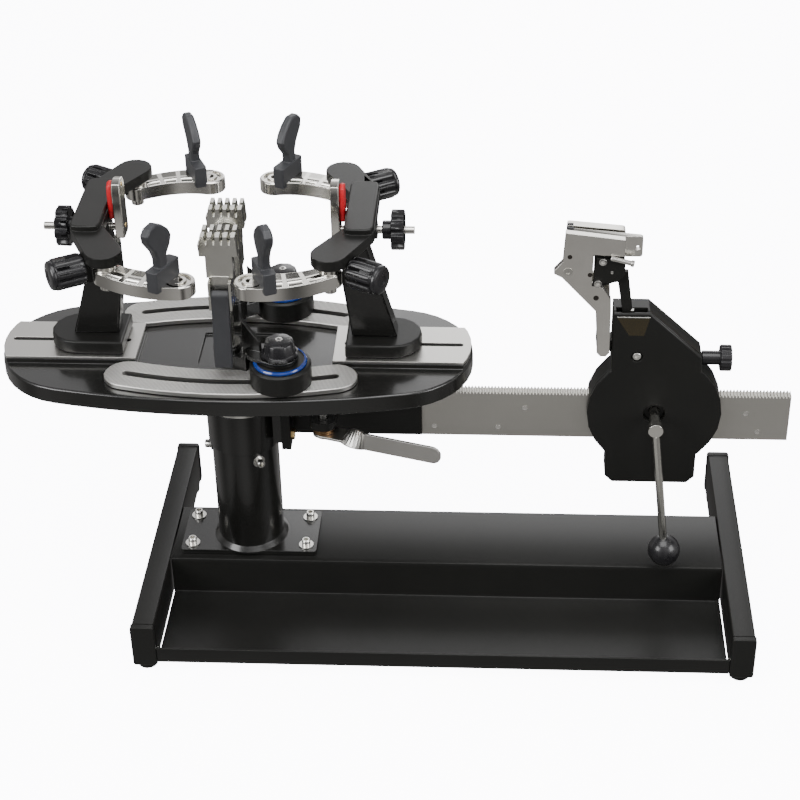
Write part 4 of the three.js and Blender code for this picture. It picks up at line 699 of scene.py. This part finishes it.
knob_turn = math.radians(30)
knob_length = 35
knob_radius = 16
knob_flutes = 8
flute_dip = 0.09
barrel = ((0, 0.86), (1.2, 0.94), (4, 1), (27, 1), (29.5, 0.985), (30.2, 0.93))
barrel_cap = [
    (0, 30), (14.6, 30), (14.9, 31), (14.6, 33), (13.4, 34.4),
    (11.4, 35), (5.2, 35), (4.9, 34.3), (0, 34.3),
]
knob_way = Vector((math.cos(knob_turn), math.sin(knob_turn), 0))
for side, side_way in sides.items():
    for end, end_way in ends.items():
        mirrored = {"side": side_way, "end": end_way}
        node = "arm_knob_" + end + "_" + side
        middle = middle_of(node)
        start = Vector((abs(middle.x), abs(middle.y), middle.z)) - knob_way * knob_length / 2
        knob = bmesh.new()
        put(knob, grip(knob_radius, knob_flutes, flute_dip, barrel), start, knob_way, **mirrored)
        put(knob, spun(barrel_cap, steps=64), start, knob_way, **mirrored)
        piece(
            node + "_skin", knob, phenolic, body_of[node], edge=0.4,
            stands_for=(node,),
        )
star_radius = 20.6
star_lobes = 9
star_dip = 0.16
star_levels = ((9, 0.93), (9.8, 1), (21.6, 1), (22.5, 0.93), (22.5, 0.5))
star_neck = [(4.2, 0), (8.4, 0), (9.5, 0.8), (9.5, 9.5), (4.2, 9.5), (4.2, 0)]
for side, side_way in sides.items():
    node = "star_knob_" + side
    low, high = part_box(node)
    inner_end = low if side_way > 0 else high
    start = side_way * (inner_end.x - post.x) / mm
    place = (start, middle_of(node).y, middle_of(node).z)
    star_knob = bmesh.new()
    star_grip = grip(star_radius, star_lobes, star_dip, star_levels, round_share=0.8)
    put(star_knob, star_grip, place, to_right, side=side_way)
    put(star_knob, spun(star_neck, steps=48), place, to_right, side=side_way)
    piece(
        node + "_skin", star_knob, phenolic, body_of[node], edge=0.5,
        stands_for=(node,),
    )

# Centre supports.
# A polished blade on a draw rod stands in each yoke, with a red rubber pad on brass pins.
red = Finish("red_rubber")
red_grain = red.noise(900.0, 2.0)
red_dark, red_pale = (0.42, 0.006, 0.012), (0.58, 0.012, 0.02)
red.vary(red.noise(90.0), red_dark, red_pale, rough=(0.34, 0.5), rough_share=red_grain)
red.bump(red_grain, depth=0.00006)
blade_face = 104
pad_pin_levels = (452, 498)
pad_pin = [(0, 0), (2.4, 0), (2.2, 0.5), (0, 0.8)]
for side, side_way in sides.items():
    support = "centre_support_" + side
    dressed(support, cast, edge=0.5)
    dressed("support_pad_" + side, red, edge=1.2)
    pins = bmesh.new()
    for level in pad_pin_levels:
        put(pins, spun(pad_pin, steps=24), (blade_face, 0, level), to_left, side=side_way)
    piece("pad_pins_" + side, pins, brass, body_of[support])

# Clamps.
# A lock knob on a shallow cup holds each swing arm. The clamp's two toothed jaws are
# plated steel on a square post, and a moulded lever closes them.
blue = Finish("blue_acrylic", Specular_IOR_Level=0.6, Coat_Weight=0.5)
blue.vary(blue.noise(60.0), (0.003, 0.022, 0.16), (0.006, 0.04, 0.26), rough=(0.12, 0.22))
chrome = Finish("satin_plating", Metallic=1.0)
chrome_cloud = chrome.noise(80.0, 3.0)
chrome.vary(chrome_cloud, (0.72, 0.71, 0.65), (0.86, 0.85, 0.8), rough=(0.16, 0.3))
chrome.bump(chrome.noise(500.0), depth=0.00003)
jaw_edge = 0.15
tooth_height = 9.3
tooth_spacing = 7.6
first_tooth_in = 3.8
tooth_width_share = 1.26
dial_radius = 10.6
dial_height = 1.2
dial_drop = 22.5
dial_shift = 2.3
dial_lift = 0.2
lock_radius = 16.8
lock_flutes = 8
lock_dip = 0.045
lock_levels = (
    (0, 1.08), (0.8, 1.12), (3.4, 1.12), (4.2, 1.04),
    (4.6, 0.98), (15.2, 0.87), (16.8, 0.83), (17.9, 0.7),
)
lock_screw_radius = 3.6
lock_screw_height = 1.0
lock_screw_lift = 17.7
clamp_ring = [(24.6, 0), (27.4, 0), (27.4, 1.6), (26.4, 2.9), (24.6, 2.9), (24.6, 0)]
clamp_ring_lift = 33.4
for end, end_way in ends.items():
    base, body, lock = "clamp_base_" + end, "clamp_body_" + end, "lock_knob_" + end
    dressed(base, powder, edge=0.5)
    dressed("swing_arm_" + end, gloss, edge=0.7)
    dressed("clamp_sleeve_" + end, gloss, edge=0.3)
    jaws = [dressed(body, chrome, jaw_edge), dressed("clamp_jaw_" + end, chrome, jaw_edge)]
    dressed("clamp_lever_" + end, nylon, edge=1.0)
    body_low, body_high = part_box(body)
    tooth_foot = body_high.z - tooth_height * mm
    first_tooth = body_low.x + first_tooth_in * mm
    for jaw in jaws:
        for vert in jaw.data.vertices:
            if vert.co.z > tooth_foot:
                count = round((vert.co.x - first_tooth) / (tooth_spacing * mm))
                tooth_middle = first_tooth + count * tooth_spacing * mm
                vert.co.x = tooth_middle + (vert.co.x - tooth_middle) * tooth_width_share
    dial_x = middle_of("clamp_lever_" + end).x + dial_shift
    dial_face = (body_high.y if end == "front" else body_low.y) / mm - post.y / mm
    dial_place = (dial_x, dial_face + end_way * dial_lift, body_high.z / mm - dial_drop)
    dial = bmesh.new()
    put(dial, screw_head(dial_radius, dial_height, socket=0.36), dial_place, (0, -end_way, 0))
    piece("dial_" + end, dial, chrome, body_of[body], sockets=painted_hollow_shade)
    hub = middle_of(lock)
    hub_foot = box_of(lock)[0].z
    lock_knob = bmesh.new()
    lock_grip = grip(lock_radius, lock_flutes, lock_dip, lock_levels)
    put(lock_knob, lock_grip, (hub.x, hub.y, hub_foot))
    piece(
        lock + "_skin", lock_knob, phenolic, body_of[lock], edge=0.4,
        stands_for=(lock,),
    )
    lock_screw = bmesh.new()
    lock_screw_head = screw_head(lock_screw_radius, lock_screw_height, socket=0.55)
    put(lock_screw, lock_screw_head, (hub.x, hub.y, hub_foot + lock_screw_lift))
    piece("lock_screw_" + end, lock_screw, plating, body_of[lock], sockets=painted_hollow_shade)
    ring = bmesh.new()
    ring_foot = box_of(base)[0].z + clamp_ring_lift
    put(ring, spun(clamp_ring, steps=72), (hub.x, hub.y, ring_foot))
    piece("clamp_ring_" + end, ring, blue, body_of[base])

# Tension head.
# Two castings close over the gear train, coated satin black, with a crank at the front.
# The cover has a sunken panel, painted on its face as a dark sheet of shade, under a plated
# strip painted as the highlight on its top edge, and one screw in a counterbore. A dark strip
# paints the shade of a slit down its slope, and six screws hold it from behind.
for node in ("head_housing", "head_cover"):
    dressed(node, powder, edge=0.7)
head_body = body_of["head_cover"]
cover_face = box_of("head_cover")[0].y
cover_screw_radius = 4.4
cover_screw_height = 2.6
cover_screw_sink = 3.0
cover_screw_place = (415, cover_face + cover_screw_sink, 314)
cover_screw = bmesh.new()
put(cover_screw, screw_head(cover_screw_radius, cover_screw_height), cover_screw_place, to_front)
piece("cover_screw", cover_screw, plating, head_body, sockets=painted_hollow_shade)
back_face = box_of("head_housing")[1].y
to_rear = (0, 1, 0)
back_screw_radius = 3.6
back_screw_height = 1.4
back_screw_places = ((384, 345), (424, 345), (392, 170), (482, 170), (384, 250), (490, 250))
back_screws = bmesh.new()
for x, z in back_screw_places:
    back_screw = screw_head(back_screw_radius, back_screw_height)
    put(back_screws, back_screw, (x, back_face, z), to_rear)
piece(
    "back_screws", back_screws, plating, body_of["head_housing"], sockets=painted_hollow_shade
)
# The sunken panel is painted as a thin dark sheet on the cover's face, standing for its shade.
recess_shade = Finish("painted_recess_shade", Specular_IOR_Level=0.6)
recess_cloud = recess_shade.noise(60.0)
recess_shade.vary(recess_cloud, (0.016, 0.012, 0.003), (0.026, 0.019, 0.006), rough=(0.1, 0.2))


def flat_plate(points, thickness):
    """A flat plate with the given corners."""
    shape = bmesh.new()
    outline = shape.faces.new([shape.verts.new((x, z, 0)) for x, z in points])
    raised(shape, [outline], thickness)
    return shape


def block(width, depth, height):
    shape = bmesh.new()
    bmesh.ops.create_cube(shape, size=1)
    bmesh.ops.scale(shape, vec=(width, depth, height), verts=shape.verts)
    return shape


# A thin dark strip on the cover's slope paints the shade in a slit.
slit_width = 3.4
slit_length = 70
slit_depth = 1
slit_place = (453.5, -9.6, 340.2)
slit_way = (0.68, 0, 0.733)
slit_shade = bmesh.new()
put(slit_shade, block(slit_width, slit_length, slit_depth), slit_place, slit_way)
piece("head_slit_shade", slit_shade, painted_hollow_shade, head_body)
catch_pin = [(0, 0), (1.4, 0), (1.7, 0.4), (1.7, 5), (0, 5.6)]
catch_place = (405.0, -9.8, 366.4)
catch_way = (1, -0.35, 0.1)
head_catch = bmesh.new()
put(head_catch, spun(catch_pin, steps=20), catch_place, catch_way)
piece("head_catch", head_catch, plating, head_body)
recess_corners = ((392.6, 361), (426, 361), (421, 340), (405.6, 340))
recess_sheet_thickness = 0.25
head_recess_shade = bmesh.new()
put(head_recess_shade, flat_plate(recess_corners, recess_sheet_thickness), (0, cover_face, 0), to_front)
piece("head_recess_shade", head_recess_shade, recess_shade, head_body, edge=0.1)
# A plated strip along the panel's top edge paints the highlight on that edge.
lip_length = 34
lip_height = 1.1
lip_depth = 0.8
lip_lift = 0.3
lip_place = (409.3, cover_face - lip_lift, 361.8)
lip_highlight = bmesh.new()
put(lip_highlight, block(lip_length, lip_height, lip_depth), lip_place, to_front)
piece("recess_lip_highlight", lip_highlight, plating, head_body, edge=0.25)

# Crank.
# A plated rod leans down from a round hub and ends in a black ball that spins on it.
# The knob on the head's right side sets the tension.
dressed("crank_arm", chrome, edge=0.5)
ball_radius = 17.5
ball = bmesh.new()
bmesh.ops.create_uvsphere(ball, u_segments=64, v_segments=32, radius=ball_radius)
crank_ball = bmesh.new()
put(crank_ball, ball, middle_of("crank_ball"))
piece(
    "crank_ball_skin", crank_ball, phenolic, body_of["crank_ball"],
    stands_for=("crank_ball",),
)
dressed("tension_knob", phenolic, edge=0.4)

# Gripper.
# Two plates of polished alloy tilt on a pin beside the head and close on each other.
# A black block with two screws joins them to the strut from the head. Dark pads close the
# slot between the jaws at its left end, and the jaws' tops slope down to the right.
jaw_slope = 0.09
jaw_right = 398
jaw_shoulder = 449
plate_back = -9
for node in ("gripper_frame", "gripper_jaw"):
    for vert in dressed(node, cast, edge=0.35).data.vertices:
        x, y, z = (vert.co - post) / mm
        if z > jaw_shoulder and y > plate_back:
            vert.co.z += (jaw_right - x) * jaw_slope * mm
dressed("gripper_bracket", powder, edge=0.5)
block_body = body_of["gripper_bracket"]
gripper_face = box_of("gripper_frame")[0].y
block_face = box_of("gripper_bracket")[0].y
block_corners = (
    (369.5, 431), (398, 426), (398, 411.5), (391, 403.5),
    (377, 402), (376, 398.2), (365.3, 398.2), (367.2, 412.5),
)
block_gap = 0.2
block_thickness = 0.9
spacer = [(0, 0), (3.4, 0), (3.4, 3.2), (0, 3.2)]
spacer_sink = 0.3
spacer_place = (385, block_face + spacer_sink, 416)
block_plate = bmesh.new()
block_front = flat_plate(block_corners, block_thickness)
put(block_plate, block_front, (0, gripper_face - block_gap, 0), to_front)
put(block_plate, spun(spacer, steps=24), spacer_place, to_front)
piece("block_plate", block_plate, powder, block_body, edge=0.25)
plate_front = gripper_face - block_gap - block_thickness
block_screw_radius = 3.9
block_screw_height = 2.2
block_rivet = [(0, 0), (1.7, 0), (1.4, 0.7), (0, 0.9)]
block_rivet_place = (385, plate_front, 414.5)
block_screw_places = ((375.4, 427), (371.2, 402))
block_screws = bmesh.new()
for x, z in block_screw_places:
    block_screw = screw_head(block_screw_radius, block_screw_height)
    put(block_screws, block_screw, (x, plate_front, z), to_front)
put(block_screws, spun(block_rivet, steps=20), block_rivet_place, to_front)
piece("block_screws", block_screws, plating, block_body, sockets=painted_hollow_shade)
# Thin dark discs on the plate's face paint the shade inside its bores.
bore_lift = 0.2
bore_places = ((342.4, 431, 2.4), (363.1, 410.7, 2.4), (370.2, 384, 2.8))
bore_shades = bmesh.new()
for x, z, radius in bore_places:
    bore = [(0, 0), (radius, 0), (radius, bore_lift), (0, bore_lift)]
    put(bore_shades, spun(bore, steps=24), (x, gripper_face, z), to_front)
piece("gripper_bore_shade", bore_shades, painted_hollow_shade, body_of["gripper_frame"])
stop_width = 6.4
stop_height = 4
stop_x = 342.4
stop_level = 450.4
stop_z = stop_level + (jaw_right - stop_x) * jaw_slope
stop_ends = {"gripper_frame": (-1.8, -4.4), "gripper_jaw": (6.0, 3.3)}
for node, (back, front) in stop_ends.items():
    jaw_stop = bmesh.new()
    stop = block(stop_width, back - front, stop_height)
    put(jaw_stop, stop, (stop_x, (back + front) / 2, stop_z))
    piece(node + "_stop", jaw_stop, nylon, body_of[node], edge=0.2)
latch = [(0, 0), (2.3, 0), (2.6, 0.4), (2.6, 21), (3.4, 21.4), (3.4, 24), (0, 24)]
latch_stand_off = 1.2
latch_place = (383, plate_front - latch_stand_off, 431.5)
latch_way = (23, 0, -6)
latch_pin = bmesh.new()
put(latch_pin, spun(latch, steps=32), latch_place, latch_way)
piece("latch_pin", latch_pin, plating, block_body)
plate_screw_radius = 4.6
plate_screw_height = 0.8
plate_screw_place = (341, gripper_face, 413.8)
plate_screw = bmesh.new()
plate_screw_head = screw_head(plate_screw_radius, plate_screw_height, socket=0.45)
put(plate_screw, plate_screw_head, plate_screw_place, to_front)
piece(
    "plate_screw", plate_screw, brushed, body_of["gripper_frame"],
    sockets=painted_hollow_shade,
)
